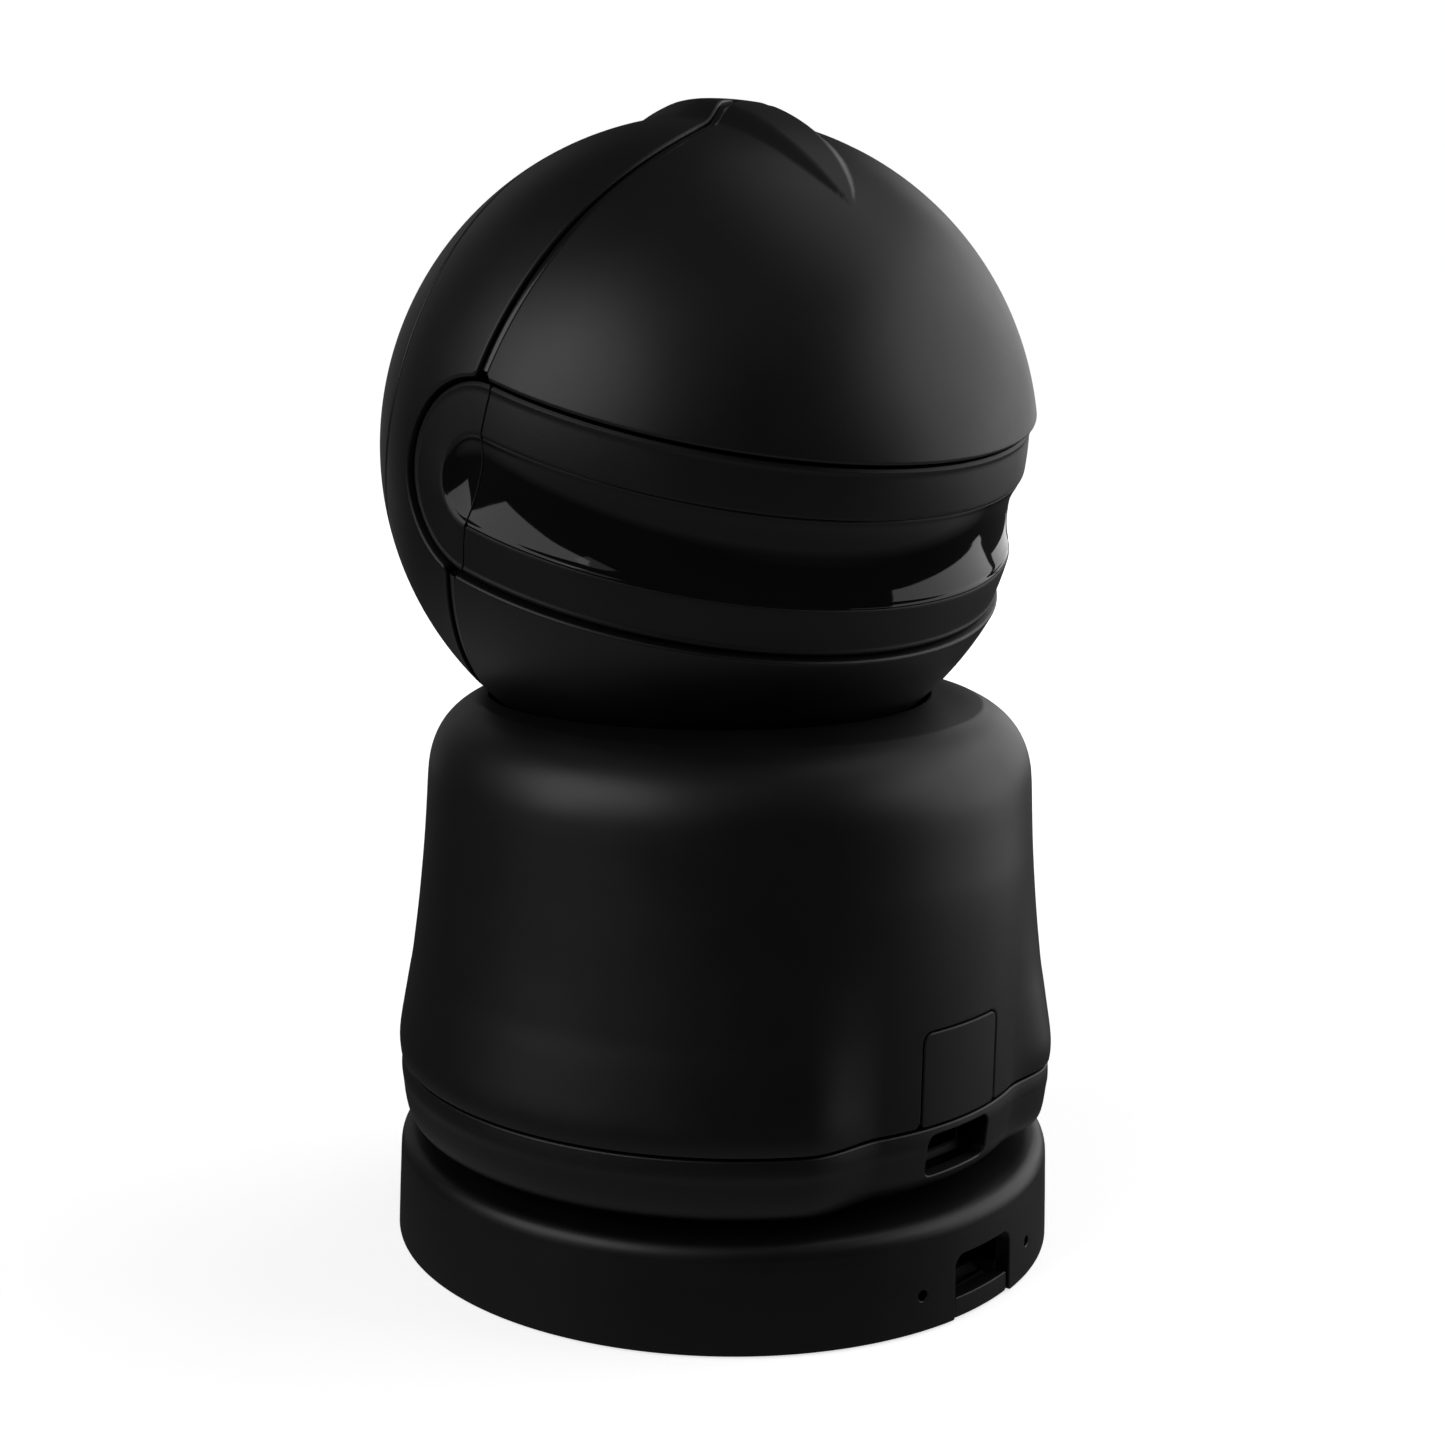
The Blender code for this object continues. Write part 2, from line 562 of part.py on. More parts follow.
def build_electronics(floor_top):
    """The board on the ring's floor, the jack in line with the opening, and what is behind the door."""
    board_low = floor_top + 0.4 * MM
    board_high = board_low + BOARD_THICKNESS
    front = -(RECESS_RADIUS - WALL - 0.4 * MM)
    board = rod("main_board", BOARD_RADIUS, board_low, board_high, (0, 0), BOARD_GREEN, PEDESTAL,
                sides=ROUND_STEPS)
    join(board, box("board_tongue", (-9 * MM, front + 1.2 * MM, board_low), (9 * MM, -25 * MM, board_high),
                    None, PEDESTAL))
    jack_low = board_high + GAP
    jack_front = front + 0.6 * MM
    jack_skin = 0.45 * MM
    half = JACK_WIDTH / 2
    jack = box("power_jack", (-half, jack_front, jack_low),
               (half, jack_front + JACK_DEPTH, jack_low + JACK_HEIGHT),
               STEEL, PEDESTAL)
    cut(jack, box("jack_mouth", (-half + jack_skin, jack_front - 1 * MM, jack_low + jack_skin),
                  (half - jack_skin, jack_front + JACK_DEPTH - 1.2 * MM,
                   jack_low + JACK_HEIGHT - jack_skin),
                  None, PEDESTAL))

    plane = front + 9.4 * MM
    half = DOOR_WIDTH / 2 - 0.5 * MM
    box("service_board", (-half, plane, jack_low + 1 * MM),
        (half, plane + BOARD_THICKNESS, DOOR_TOP + 0.7 * MM),
        BOARD_GREEN, PEDESTAL)
    card_low = DOOR_TOP - 0.5 * MM - CARD_LENGTH
    reader = box("card_reader", (READER_SIDE - READER_WIDTH, front + 2.6 * MM, card_low),
                 (READER_SIDE, plane - GAP, card_low + CARD_LENGTH),
                 STEEL, PEDESTAL)
    cut(reader, box("card_slot", (READER_SIDE - READER_WIDTH + 0.7 * MM, front, card_low + 0.5 * MM),
                    (READER_SIDE - 0.7 * MM, plane - 1.5 * MM, card_low + CARD_LENGTH - 0.5 * MM), None,
                    PEDESTAL))
    switch = 2.4 * MM
    across = -BUTTON_SIDE
    box("reset_switch", (across - 0.9 * switch, plane - 3.0 * MM, BUTTON_HEIGHT - switch),
        (across + 0.9 * switch, plane - GAP, BUTTON_HEIGHT + switch), INNER_BLACK, PEDESTAL)
    rod("reset_button", BUTTON_RADIUS, -(plane - 4.0 * MM), -(front + 2.8 * MM), (across, BUTTON_HEIGHT),
        BUTTON_GREY,
        PEDESTAL, TO_FRONT)


# ---------------------------------------------------------------- pan drive


def pan_gear_distance():
    return (PAN_GEAR_TEETH + PINION_TEETH) * MODULE / 2 + GEAR_SLACK


def build_pan_drive(floor_top):
    plate_high = FRAME_HEIGHT + FRAME_THICKNESS
    pan_centre = (0, PAN_OFFSET)
    motor_centre = outward(pan_gear_distance(), PAN_MOTOR_ANGLE, pan_centre)
    frame = rod("pan_frame", RECESS_RADIUS - WALL - 0.6 * MM, FRAME_HEIGHT, plate_high, (0, 0), INNER_BLACK,
                PEDESTAL, sides=ROUND_STEPS)
    for number, angle in enumerate(LEG_ANGLES):
        centre = outward(LEG_CIRCLE, angle)
        leg = rod(f"frame_leg_{number + 1}", LEG_RADIUS, floor_top + GAP, FRAME_HEIGHT + 1 * MM, centre,
                  None, PEDESTAL)
        join(frame, leg)
        cut(frame, rod(f"frame_leg_hole_{number + 1}", SCREW_RADIUS + GAP, floor_top - 1 * MM,
                       PEDESTAL_SCREW_TIP + 0.6 * MM, centre, None, PEDESTAL))
    bush_radius = SPIGOT_RADIUS + GAP + 2.4 * MM
    cut(frame, rod("bearing_hole", bush_radius + GAP, FRAME_HEIGHT - 1 * MM, plate_high + 1 * MM,
                   pan_centre, None, PEDESTAL,
                   sides=ROUND_STEPS),
        rod("motor_shaft_hole", 2.3 * MM, FRAME_HEIGHT - 1 * MM, plate_high + 1 * MM, motor_centre, None,
            PEDESTAL))
    bearing_high = plate_high + 0.6 * MM
    bearing = turned("pan_bearing", [
        (bush_radius, bearing_high), (bush_radius, FRAME_HEIGHT - 0.5 * MM),
        (SPIGOT_RADIUS + GAP, FRAME_HEIGHT - 0.5 * MM), (SPIGOT_RADIUS + GAP, bearing_high),
    ], NYLON, PEDESTAL, steps=32)
    bearing.location = (0, PAN_OFFSET, 0)

    motor = rod("pan_motor", PAN_MOTOR_RADIUS, FRAME_HEIGHT - GAP - PAN_MOTOR_LENGTH, FRAME_HEIGHT - GAP,
                motor_centre,
                STEEL, PEDESTAL, sides=32)
    join(motor, box("pan_motor_ears",
                    (motor_centre[0] - 4 * MM, motor_centre[1] - PAN_MOTOR_RADIUS - 3 * MM,
                     FRAME_HEIGHT - GAP - 1.2 * MM),
                    (motor_centre[0] + 4 * MM, motor_centre[1] + PAN_MOTOR_RADIUS + 3 * MM,
                     FRAME_HEIGHT - GAP),
                    None, PEDESTAL))

    # Turntable, with the gear keyed round its collar and a circlip below the bearing
    collar_low = bearing_high + GAP
    gear_low = collar_low + 1.7 * MM
    gear_high = gear_low + GEAR_WIDTH
    disc_low = gear_high + GAP
    disc_high = disc_low + TABLE_THICKNESS
    collar = SPIGOT_RADIUS + 1.2 * MM
    groove_high = FRAME_HEIGHT - 1.3 * MM
    groove_low = groove_high - 1.4 * MM
    turned("pan_turntable", [
        (0, disc_high), (TABLE_RADIUS, disc_high), (TABLE_RADIUS, disc_low), (collar, disc_low), (collar,
                                                                                                  collar_low),
        (SPIGOT_RADIUS, collar_low), (SPIGOT_RADIUS, groove_high), (SPIGOT_RADIUS - 0.9 * MM, groove_high),
        (SPIGOT_RADIUS - 0.9 * MM, groove_low), (SPIGOT_RADIUS, groove_low), (SPIGOT_RADIUS,
                                                                              groove_low - 1.5 * MM),
        (0, groove_low - 1.5 * MM),
    ], INNER_BLACK, PAN, closed=False, steps=40)
    turned("pan_circlip", [
        (SPIGOT_RADIUS + 2 * MM, groove_high - 0.2 * MM), (SPIGOT_RADIUS + 2 * MM, groove_low + 0.2 * MM),
        (SPIGOT_RADIUS - 0.6 * MM, groove_low + 0.2 * MM), (SPIGOT_RADIUS - 0.6 * MM,
                                                            groove_high - 0.2 * MM),
    ], STEEL, PAN, steps=28)
    # A pinion tooth gap faces the gear tooth that lies on the line between the two centres.
    line = PAN_MOTOR_ANGLE - pi / 2
    gear = prism("pan_gear", gear_outline(PAN_GEAR_TEETH, line - PAN_REST), gear_low, gear_high, NYLON, PAN)
    cut(gear, rod("pan_gear_bore", collar + GAP, gear_low - 1 * MM, gear_high + 1 * MM, (0, 0), None, PAN,
                  sides=32))
    pinion = prism("pan_pinion", gear_outline(PINION_TEETH, line + pi + pi / PINION_TEETH), gear_low,
                   gear_high,
                   NYLON, PAN_PINION)
    join(pinion, rod("pan_pinion_shaft", SHAFT_RADIUS, FRAME_HEIGHT, gear_low + 1 * MM, (0, 0), None,
                     PAN_PINION))
    return disc_high


# ---------------------------------------------------------------- neck


def slot_angles():
    """How far the post can reach each way along the ball's bottom, from the ball's own down axis."""
    post = asin((POST_DEPTH / 2 + SLOT_CLEARANCE) / (BALL_RADIUS - BALL_WALL))
    down, up = TILT_REST + TILT_DOWN, TILT_UP - TILT_REST
    return post + down, post + up  # towards the front, towards the back


def build_neck(table_high):
    flange_low = table_high + GAP
    bottom = flange_low - BALL_HEIGHT
    post = rod("neck_post", POST_FLANGE_RADIUS, bottom, bottom + 2.2 * MM, (0, 0), INNER_BLACK, NECK,
               sides=32)
    join(post,
         box("post_column", (-POST_WIDTH / 2, -POST_DEPTH / 2, bottom + 1 * MM),
             (POST_WIDTH / 2, POST_DEPTH / 2, -1 * MM),
             None, NECK),
         rod("post_hub", HUB_RADIUS, -HUB_WIDTH / 2, HUB_WIDTH / 2, (0, 0), None, NECK, TO_X, sides=28))
    cut(post, rod("post_bore", TILT_SHAFT_RADIUS + GAP, -HUB_WIDTH, HUB_WIDTH, (0, 0), None, NECK, TO_X))

    # The shield follows the inside of the ball and keeps the slot dark at every tilt.
    front, back = slot_angles()
    travel = TILT_UP + TILT_DOWN
    half = POST_WIDTH / 2 + SLOT_CLEARANCE + 2.0 * MM
    outer = sqrt((BALL_RADIUS - BALL_WALL - 1.2 * MM) ** 2 - half**2)
    inner = outer - SHIELD_THICKNESS
    angles_front = front - TILT_DOWN - TILT_REST + travel + SHIELD_OVERLAP
    angles_back = back - (TILT_UP - TILT_REST) + travel + SHIELD_OVERLAP
    steps = 20
    angles = [-angles_back + (angles_front + angles_back) * step / steps for step in range(steps + 1)]
    outline = [(outer * sin(angle), -outer * cos(angle)) for angle in angles]
    outline += [(inner * sin(angle), -inner * cos(angle)) for angle in reversed(angles)]
    # The outline's first axis is the front (-Y) and its second is up.
    turn = Matrix(((0, 0, 1, 0), (-1, 0, 0, 0), (0, 1, 0, 0), (0, 0, 0, 1)))
    shield = prism("slot_shield", outline, -half, half, INNER_BLACK, NECK, turn)
    cut(shield, box("shield_hole", (-POST_WIDTH / 2 - GAP, -POST_DEPTH / 2 - GAP, -BALL_RADIUS),
                    (POST_WIDTH / 2 + GAP, POST_DEPTH / 2 + GAP, -20 * MM), None, NECK))

    gear_low = HUB_WIDTH / 2 + GAP
    gear = prism("tilt_gear", gear_outline(TILT_GEAR_TEETH, tilt_gear_phase()), gear_low,
                 gear_low + GEAR_WIDTH,
                 NYLON, NECK, TO_X)
    cut(gear, rod("tilt_gear_bore", TILT_SHAFT_RADIUS + GAP, 0, 40 * MM, (0, 0), None, NECK, TO_X))
    return gear_low


def tilt_gear_distance():
    return (TILT_GEAR_TEETH + PINION_TEETH) * MODULE / 2 + GEAR_SLACK


def tilt_motor_centre():
    """In the head's frame, as (Y, Z): behind and above the tilt shaft."""
    distance = tilt_gear_distance()
    return distance * cos(TILT_MOTOR_ANGLE), distance * sin(TILT_MOTOR_ANGLE)


def outline_angle_to_x(y, z):
    """The angle in an outline that TO_X turns to point along this direction in Y and Z."""
    return atan2(y, -z)


def tilt_gear_phase():
    """A tooth of the fixed gear points at the pinion, allowing for the head's tilt at rest."""
    y, z = tilt_motor_centre()
    world = Matrix.Rotation(TILT_REST, 4, "X") @ Vector((0, y, z))
    return outline_angle_to_x(world.y, world.z)


# ---------------------------------------------------------------- ball head


def seam_line(x, upper=True):
    """Where the front shells meet the band, as Y for each X, both in ball radii."""
    side = abs(x)
    if upper:
        return -0.183 * side + 0.17 * exp(-((side / 0.20) ** 1.3))
    return min(0.15, -0.16 + 0.65 * (0.937 - side))


def rear_seam_line(x, upper=True):
    if upper:
        return 0.50 - 0.27 * x * x
    return min(0.55, 0.247 + 0.8 * max(0.0, 0.968 - abs(x)))


def crest(x, y):
    """Height of the leaf-shaped ridge on top of the ball, from 0 to 1, at X and Y in ball radii."""
    front, back, widest = -0.42, 0.75, 0.15
    if not front < y < back:
        return 0.0
    along = (y - front) / (widest - front) if y < widest else (back - y) / (back - widest)
    half_width = 0.22 * smooth(along) ** 0.8 + 0.02
    across = abs(x) / half_width
    return smooth(along) * (1 - smooth(across)) if across < 1 else 0.0


def ball(name, radius, material=None, segments=40, rings=20, crested=True):
    """A sphere in the head's frame, with the crest raised on it."""
    bm = bmesh.new()
    bmesh.ops.create_uvsphere(bm, u_segments=segments, v_segments=rings, radius=radius)
    if crested:
        for vertex in bm.verts:
            if vertex.co.z > 0:
                rise = CREST_HEIGHT * crest(vertex.co.x / radius, vertex.co.y / radius)
                vertex.co *= 1 + rise / radius
    return add_object(name, bm, material, HEAD)


def plan_region(name, front_line, back_line, low, high, front_shift=0.0, back_shift=0.0):
    """A prism along the head's Z between two lines in plan. None stands for well outside the ball."""
    reach = 1.15 * BALL_RADIUS
    samples = [reach * (-1 + step / 12) for step in range(25)]

    def line(edge, shift, outside):
        if edge is None:
            return [(-reach, outside), (reach, outside)]
        return [(x, BALL_RADIUS * edge(x / BALL_RADIUS) + shift) for x in samples]

    outline = line(front_line, front_shift, -reach) + line(back_line, back_shift, reach)[::-1]
    return prism(name, outline, low, high, None, HEAD)


def wrapped_stadium(name, half_height, low, high):
    """A stadium outline wrapped round the head's Z axis, between two distances from it."""
    end_angle = half_height / BALL_RADIUS
    outline = []
    steps = 8
    for side in (1, -1):
        for step in range(steps + 1):
            angle = side * (-pi / 2 + pi * step / steps)
            outline.append((side * (VISOR_SIDE_ANGLE + end_angle * cos(angle)), half_height * sin(angle)))
        for step in range(1, 12):
            outline.append((side * VISOR_SIDE_ANGLE * (1 - 2 * step / 12), side * half_height))
    # Rings of triangles close together, so that an outline and its opening twist alike between them
    rings = 6
    rows = []
    bm = bmesh.new()
    for ring in range(rings + 1):
        distance = low + (high - low) * ring / rings
        rows.append([bm.verts.new((*outward(distance, angle), VISOR_MIDDLE + height))
                     for angle, height in outline])
    count = len(outline)
    for inner, outer in zip(rows, rows[1:]):
        for index in range(count):
            following = (index + 1) % count
            bm.faces.new((inner[index], inner[following], outer[following]))
            bm.faces.new((inner[index], outer[following], outer[index]))
    for row in (rows[0], rows[-1]):
        close_strip(bm, [row[(steps // 2 + index) % count] for index in range(count)])
    return add_object(name, bm, None, HEAD)


def close_strip(bm, loop):
    """Fills a loop that is mirrored about its first vertex with strips of quads across it."""
    count = len(loop)
    ahead = [loop[index] for index in range(1, (count + 1) // 2)]
    behind = [loop[-index] for index in range(1, (count + 1) // 2)]
    bm.faces.new((loop[0], ahead[0], behind[0]))
    for index in range(len(ahead) - 1):
        bm.faces.new((ahead[index], ahead[index + 1], behind[index + 1], behind[index]))
    if count % 2 == 0:
        bm.faces.new((ahead[-1], loop[count // 2], behind[-1]))


def behind_visor_sides(name, side, shift):
    """A wedge that holds what lies further round than the visor's parting line on one side."""
    angle = VISOR_SIDE_ANGLE + shift
    reach = 1.6 * BALL_RADIUS
    outline = [(0, 0), outward(reach, angle), (reach, reach), (0, reach)]
    return prism(name, [(side * x, y) for x, y in outline], -reach, reach, None, HEAD)


def build_head_shells():
    reach = 1.3 * BALL_RADIUS
    inside = ball("ball_inside", BALL_RADIUS - BALL_WALL, segments=32, rings=16, crested=False)
    visor_cut = wrapped_stadium("visor_cut", VISOR_HALF_HEIGHT, 0.6 * BALL_RADIUS, 1.2 * BALL_RADIUS)
    front, back = slot_angles()
    half_slot = POST_WIDTH / 2 + SLOT_CLEARANCE
    slot = box("slot", (-half_slot, -BALL_RADIUS * sin(front), -reach),
               (half_slot, BALL_RADIUS * sin(back), 0), None, HEAD)
    half_groove = GROOVE_WIDTH / 2

    def lower_line(x):
        return seam_line(x, upper=False)

    def lower_rear_line(x):
        return rear_seam_line(x, upper=False)

    brow_region = plan_region("brow_region", None, seam_line, 0, reach, back_shift=-half_groove)
    chin_region = plan_region("chin_region", None, lower_line, -reach, 0, back_shift=-half_groove)
    band_upper = plan_region("band_upper_region", seam_line, rear_seam_line, 0, reach, half_groove,
                             -SEAM_GAP / 2)
    band_lower = plan_region("band_lower_region", lower_line, lower_rear_line, -reach, 0, half_groove,
                             -SEAM_GAP / 2)
    rear_region = plan_region("rear_upper_region", rear_seam_line, None, 0, reach, front_shift=SEAM_GAP / 2)
    rear_lower = plan_region("rear_lower_region", lower_rear_line, None, -reach, 0,
                             front_shift=SEAM_GAP / 2)
    join(rear_region, rear_lower)

    shells = (
        ("brow_shell", brow_region, (inside, visor_cut)),
        ("chin_shell", chin_region, (inside, visor_cut, slot)),
        ("rear_shell", rear_region, (inside, slot)),
    )
    for name, region, cutters in shells:
        cut(keep(ball(name, BALL_RADIUS, SHELL_BLACK), region), *cutters)
    join(band_upper, band_lower)
    cut(keep(ball("middle_band", BALL_RADIUS, SHELL_BLACK), band_upper), inside, visor_cut, slot)

    # Glossy strips at the bottom of the groove, one over the top and one below each end of the visor
    strip_outer = BALL_RADIUS - BALL_WALL - GAP
    strip_inside = ball("strip_inside", strip_outer - 0.5 * MM, segments=32, rings=16, crested=False)
    visor_room = wrapped_stadium("strip_visor_room", VISOR_HALF_HEIGHT + 1 * MM, 0.6 * BALL_RADIUS,
                                 1.2 * BALL_RADIUS)
    edge = half_slot + 3 * MM
    strips = (
        ("seam_strip_top", seam_line, (-reach, -reach, 0), (reach, reach, reach)),
        ("seam_strip_left", lower_line, (-reach, -reach, -reach), (-edge, reach, 0)),
        ("seam_strip_right", lower_line, (edge, -reach, -reach), (reach, reach, 0)),
    )
    for name, line, low, high in strips:
        region = plan_region(f"{name}_region", line, line, low[2], high[2], -1.6 * MM, 1.6 * MM)
        keep(region, box(f"{name}_side", low, high, None, HEAD))
        strip = ball(name, strip_outer, GLOSS_BLACK, 32, 16, crested=False)
        cut(keep(strip, region), strip_inside, visor_room)


def build_visor():
    border = wrapped_stadium("visor_outline", VISOR_HALF_HEIGHT - VISOR_GAP, 0.6 * BALL_RADIUS,
                             1.2 * BALL_RADIUS)
    window_outline = wrapped_stadium("window_outline", WINDOW_HALF_HEIGHT - GAP, 0.6 * BALL_RADIUS,
                                     1.2 * BALL_RADIUS)
    border_radius = BALL_RADIUS - VISOR_INSET
    window_radius = BALL_RADIUS - WINDOW_INSET
    rib_outer = window_radius - WINDOW_THICKNESS - 0.8 * MM
    window_hole = wrapped_stadium("window_hole", WINDOW_HALF_HEIGHT, rib_outer, 1.2 * BALL_RADIUS)
    border_inside = ball("border_inside", border_radius - VISOR_THICKNESS, segments=32, rings=24,
                         crested=False)
    window_inside = ball("window_inside", window_radius - WINDOW_THICKNESS, segments=32, rings=24,
                         crested=False)
    parting = GAP / BALL_RADIUS / 2
    sides = {side: behind_visor_sides(f"front_only_{side}", side, -parting) for side in (-1, 1)}

    frame = cut(keep(ball("visor_frame", border_radius, VISOR_BLACK, 64, 32, False), border), border_inside)
    # A rib behind each end of the window ties the upper and the lower border together.
    for side in (-1, 1):
        join(frame, sector(f"visor_rib_{'left' if side < 0 else 'right'}", rib_outer - 1.5 * MM,
                           BALL_RADIUS - 2.8 * MM,
                           side * (VISOR_SIDE_ANGLE - radians(3)), radians(2.5), VISOR_MIDDLE - 9 * MM,
                           VISOR_MIDDLE + 9 * MM, HEAD))
    cut(frame, window_hole, sides[-1], sides[1])
    window = cut(keep(ball("visor_window", window_radius, GLASS_BLACK, 64, 32, False), window_outline),
                 window_inside, sides[-1], sides[1])
    for side, name in ((-1, "visor_end_left"), (1, "visor_end_right")):
        region = behind_visor_sides(f"{name}_region", side, parting)
        end = keep(keep(ball(name, border_radius, VISOR_BLACK, 64, 32, False), border), region)
        bowl = wrapped_stadium(f"{name}_bowl", WINDOW_HALF_HEIGHT, window_radius * 0.997, 1.2 * BALL_RADIUS)
        end_inside = ball(f"{name}_inside", window_radius - WINDOW_THICKNESS, segments=32, rings=24,
                          crested=False)
        cut(end, bowl, end_inside)
    return frame, window


def build_camera_module():
    plate_inner = HUB_WIDTH / 2 + GAP + GEAR_WIDTH + 0.7 * MM
    plate_outer = plate_inner + 2 * MM
    motor_y, motor_z = tilt_motor_centre()
    front = -CHASSIS_DEPTH
    chassis = box("camera_chassis", (-plate_outer, front, -8 * MM), (plate_outer, front + 2 * MM, 16 * MM),
                  INNER_BLACK, HEAD)
    join(chassis,
         box("chassis_left", (-plate_outer, front + 1 * MM, -8 * MM), (-plate_inner, 10 * MM, 16 * MM),
             None, HEAD),
         box("chassis_right", (plate_inner, front + 1 * MM, -8 * MM),
             (plate_outer, motor_y + 8 * MM, motor_z + 8 * MM), None, HEAD))
    cut(chassis,
        rod("chassis_bore", TILT_SHAFT_RADIUS + GAP, -40 * MM, 40 * MM, (0, 0), None, HEAD, TO_X),
        rod("chassis_motor_hole", SHAFT_RADIUS + 0.6 * MM, 0, 40 * MM, (-motor_z, motor_y), None, HEAD,
            TO_X))
    rod("tilt_shaft", TILT_SHAFT_RADIUS, -TILT_SHAFT_LENGTH / 2, TILT_SHAFT_LENGTH / 2, (0, 0), STEEL, HEAD,
        TO_X, sides=24)

    motor_low = plate_outer + GAP
    rod("tilt_motor", TILT_MOTOR_RADIUS, motor_low, motor_low + TILT_MOTOR_LENGTH, (-motor_z, motor_y),
        STEEL, HEAD, TO_X, sides=28)

    board_back = front - GAP
    box("sensor_board", (-15 * MM, board_back - 1.2 * MM, VISOR_MIDDLE - 10 * MM),
        (15 * MM, board_back, VISOR_MIDDLE + 12 * MM),
        BOARD_GREEN, HEAD)
    lens_back = -board_back + 1.2 * MM + GAP
    lens_front = lens_back + LENS_LENGTH
    turned("lens_barrel", [
        (LENS_RADIUS - 2.2 * MM, lens_front), (LENS_RADIUS - 0.4 * MM, lens_front),
        (LENS_RADIUS - 0.4 * MM, lens_front - 4 * MM), (LENS_RADIUS, lens_front - 4.4 * MM),
        (LENS_RADIUS, lens_back), (LENS_RADIUS - 2.2 * MM, lens_back),
    ], INNER_BLACK, LENS_AXIS, steps=28)
    turned("lens_glass", [
        (0, lens_front + 0.9 * MM), (2.4 * MM, lens_front + 0.5 * MM),
        (LENS_RADIUS - 2.5 * MM, lens_front - 0.6 * MM),
        (LENS_RADIUS - 2.5 * MM, lens_front - 2.0 * MM), (0, lens_front - 2.0 * MM),
    ], LENS_BLUE, LENS_AXIS, closed=False, steps=28)

    led_board = box("led_board", (-22 * MM, -LED_PLANE, VISOR_MIDDLE - 5.5 * MM),
                    (22 * MM, -LED_PLANE + 1.2 * MM, VISOR_MIDDLE + 5.5 * MM),
                    BOARD_GREEN, HEAD)
    cut(led_board, rod("led_board_hole", LENS_RADIUS + 0.6 * MM, LED_PLANE - 5 * MM, LED_PLANE + 5 * MM,
                       (0, VISOR_MIDDLE), None, HEAD, TO_FRONT, sides=24))
    join(led_board, box("led_board_bridge", (-10 * MM, -LED_PLANE, VISOR_MIDDLE + LENS_RADIUS + 0.8 * MM),
                        (10 * MM, -LED_PLANE + 1.2 * MM, VISOR_MIDDLE + LENS_RADIUS + 3 * MM), None, HEAD),
         box("led_board_left", (-14 * MM, -LED_PLANE, VISOR_MIDDLE),
             (-9 * MM, -LED_PLANE + 1.2 * MM, VISOR_MIDDLE + LENS_RADIUS + 3 * MM), None, HEAD),
         box("led_board_right", (9 * MM, -LED_PLANE, VISOR_MIDDLE),
             (14 * MM, -LED_PLANE + 1.2 * MM, VISOR_MIDDLE + LENS_RADIUS + 3 * MM), None, HEAD))
    led_tip = LED_PLANE + LED_LENGTH
    for number, across in enumerate(LED_PLACES, start=1):
        led = turned(f"ir_led_{number}", [
            (0, led_tip), (LED_RADIUS * 0.55, led_tip - 0.3 * MM), (LED_RADIUS * 0.93, led_tip - 1.4 * MM),
            (LED_RADIUS, LED_PLANE + GAP), (0, LED_PLANE + GAP),
        ], LED_CLEAR, LENS_AXIS, closed=False, steps=16)
        led.location = (across, 0, 0)

    gear_low = HUB_WIDTH / 2 + GAP
    back = outline_angle_to_x(-motor_y, -motor_z) + pi / PINION_TEETH
    pinion = prism("tilt_pinion", gear_outline(PINION_TEETH, back), gear_low, gear_low + GEAR_WIDTH, NYLON,
                   TILT_PINION, TO_X)
    join(pinion, rod("tilt_pinion_shaft", SHAFT_RADIUS, gear_low + 1 * MM, plate_outer, (0, 0), None,
                     TILT_PINION, TO_X))


# ---------------------------------------------------------------- assembly

clear_scene()
CAMERA = new_collection("security_camera")
CUTTERS = new_collection("cutters")

SHELL_BLACK = plastic("shell_black", (0.013, 0.013, 0.014), 0.5)
VISOR_BLACK = plastic("visor_black", (0.011, 0.011, 0.012), 0.42)
GLASS_BLACK = plastic("window_black", (0.006, 0.006, 0.007), 0.08)
GLOSS_BLACK = plastic("strip_black", (0.02, 0.02, 0.021), 0.15)
DOOR_BLACK = plastic("door_black", (0.012, 0.012, 0.013), 0.6)
INNER_BLACK = plastic("inner_black", (0.02, 0.02, 0.02), 0.55)
RUBBER = plastic("rubber", (0.02, 0.02, 0.02), 0.85)
STEEL = plastic("steel", (0.55, 0.55, 0.56), 0.35, 1.0)
NYLON = plastic("nylon", (0.75, 0.74, 0.7), 0.5)
BOARD_GREEN = plastic("circuit_board", (0.02, 0.12, 0.05), 0.45)
BUTTON_GREY = plastic("button_grey", (0.3, 0.3, 0.31), 0.5)
LENS_BLUE = plastic("lens_glass", (0.01, 0.012, 0.03), 0.05)
LED_CLEAR = plastic("led_clear", (0.35, 0.33, 0.38), 0.1)

PEDESTAL = empty("pedestal_axis", Matrix())
TWIST = empty("twist_axis", Matrix.Rotation(BASE_TWIST, 4, "Z"))
PAN = empty("pan_axis", Matrix.Translation((0, PAN_OFFSET, 0)) @ Matrix.Rotation(PAN_REST, 4, "Z"))
NECK = empty("neck_centre", Matrix.Translation((0, 0, BALL_HEIGHT)), PAN)
HEAD = empty("tilt_axis", Matrix.Rotation(TILT_REST, 4, "X"), NECK)
LENS_AXIS = empty("lens_axis", Matrix.Translation((0, 0, VISOR_MIDDLE)) @ TO_FRONT, HEAD)
PAN_PINION = empty("pan_pinion_axis", Matrix.Translation(
    (*outward(pan_gear_distance(), PAN_MOTOR_ANGLE, (0, PAN_OFFSET)), 0)))
TILT_PINION = empty("tilt_pinion_axis", Matrix.Translation((0, *tilt_motor_centre())), HEAD)

build_base()
floor_height = build_lower_ring()
build_housing()
build_service_door()
build_electronics(floor_height)
table_height = build_pan_drive(floor_height)
build_neck(table_height)
build_head_shells()
build_visor()
build_camera_module()
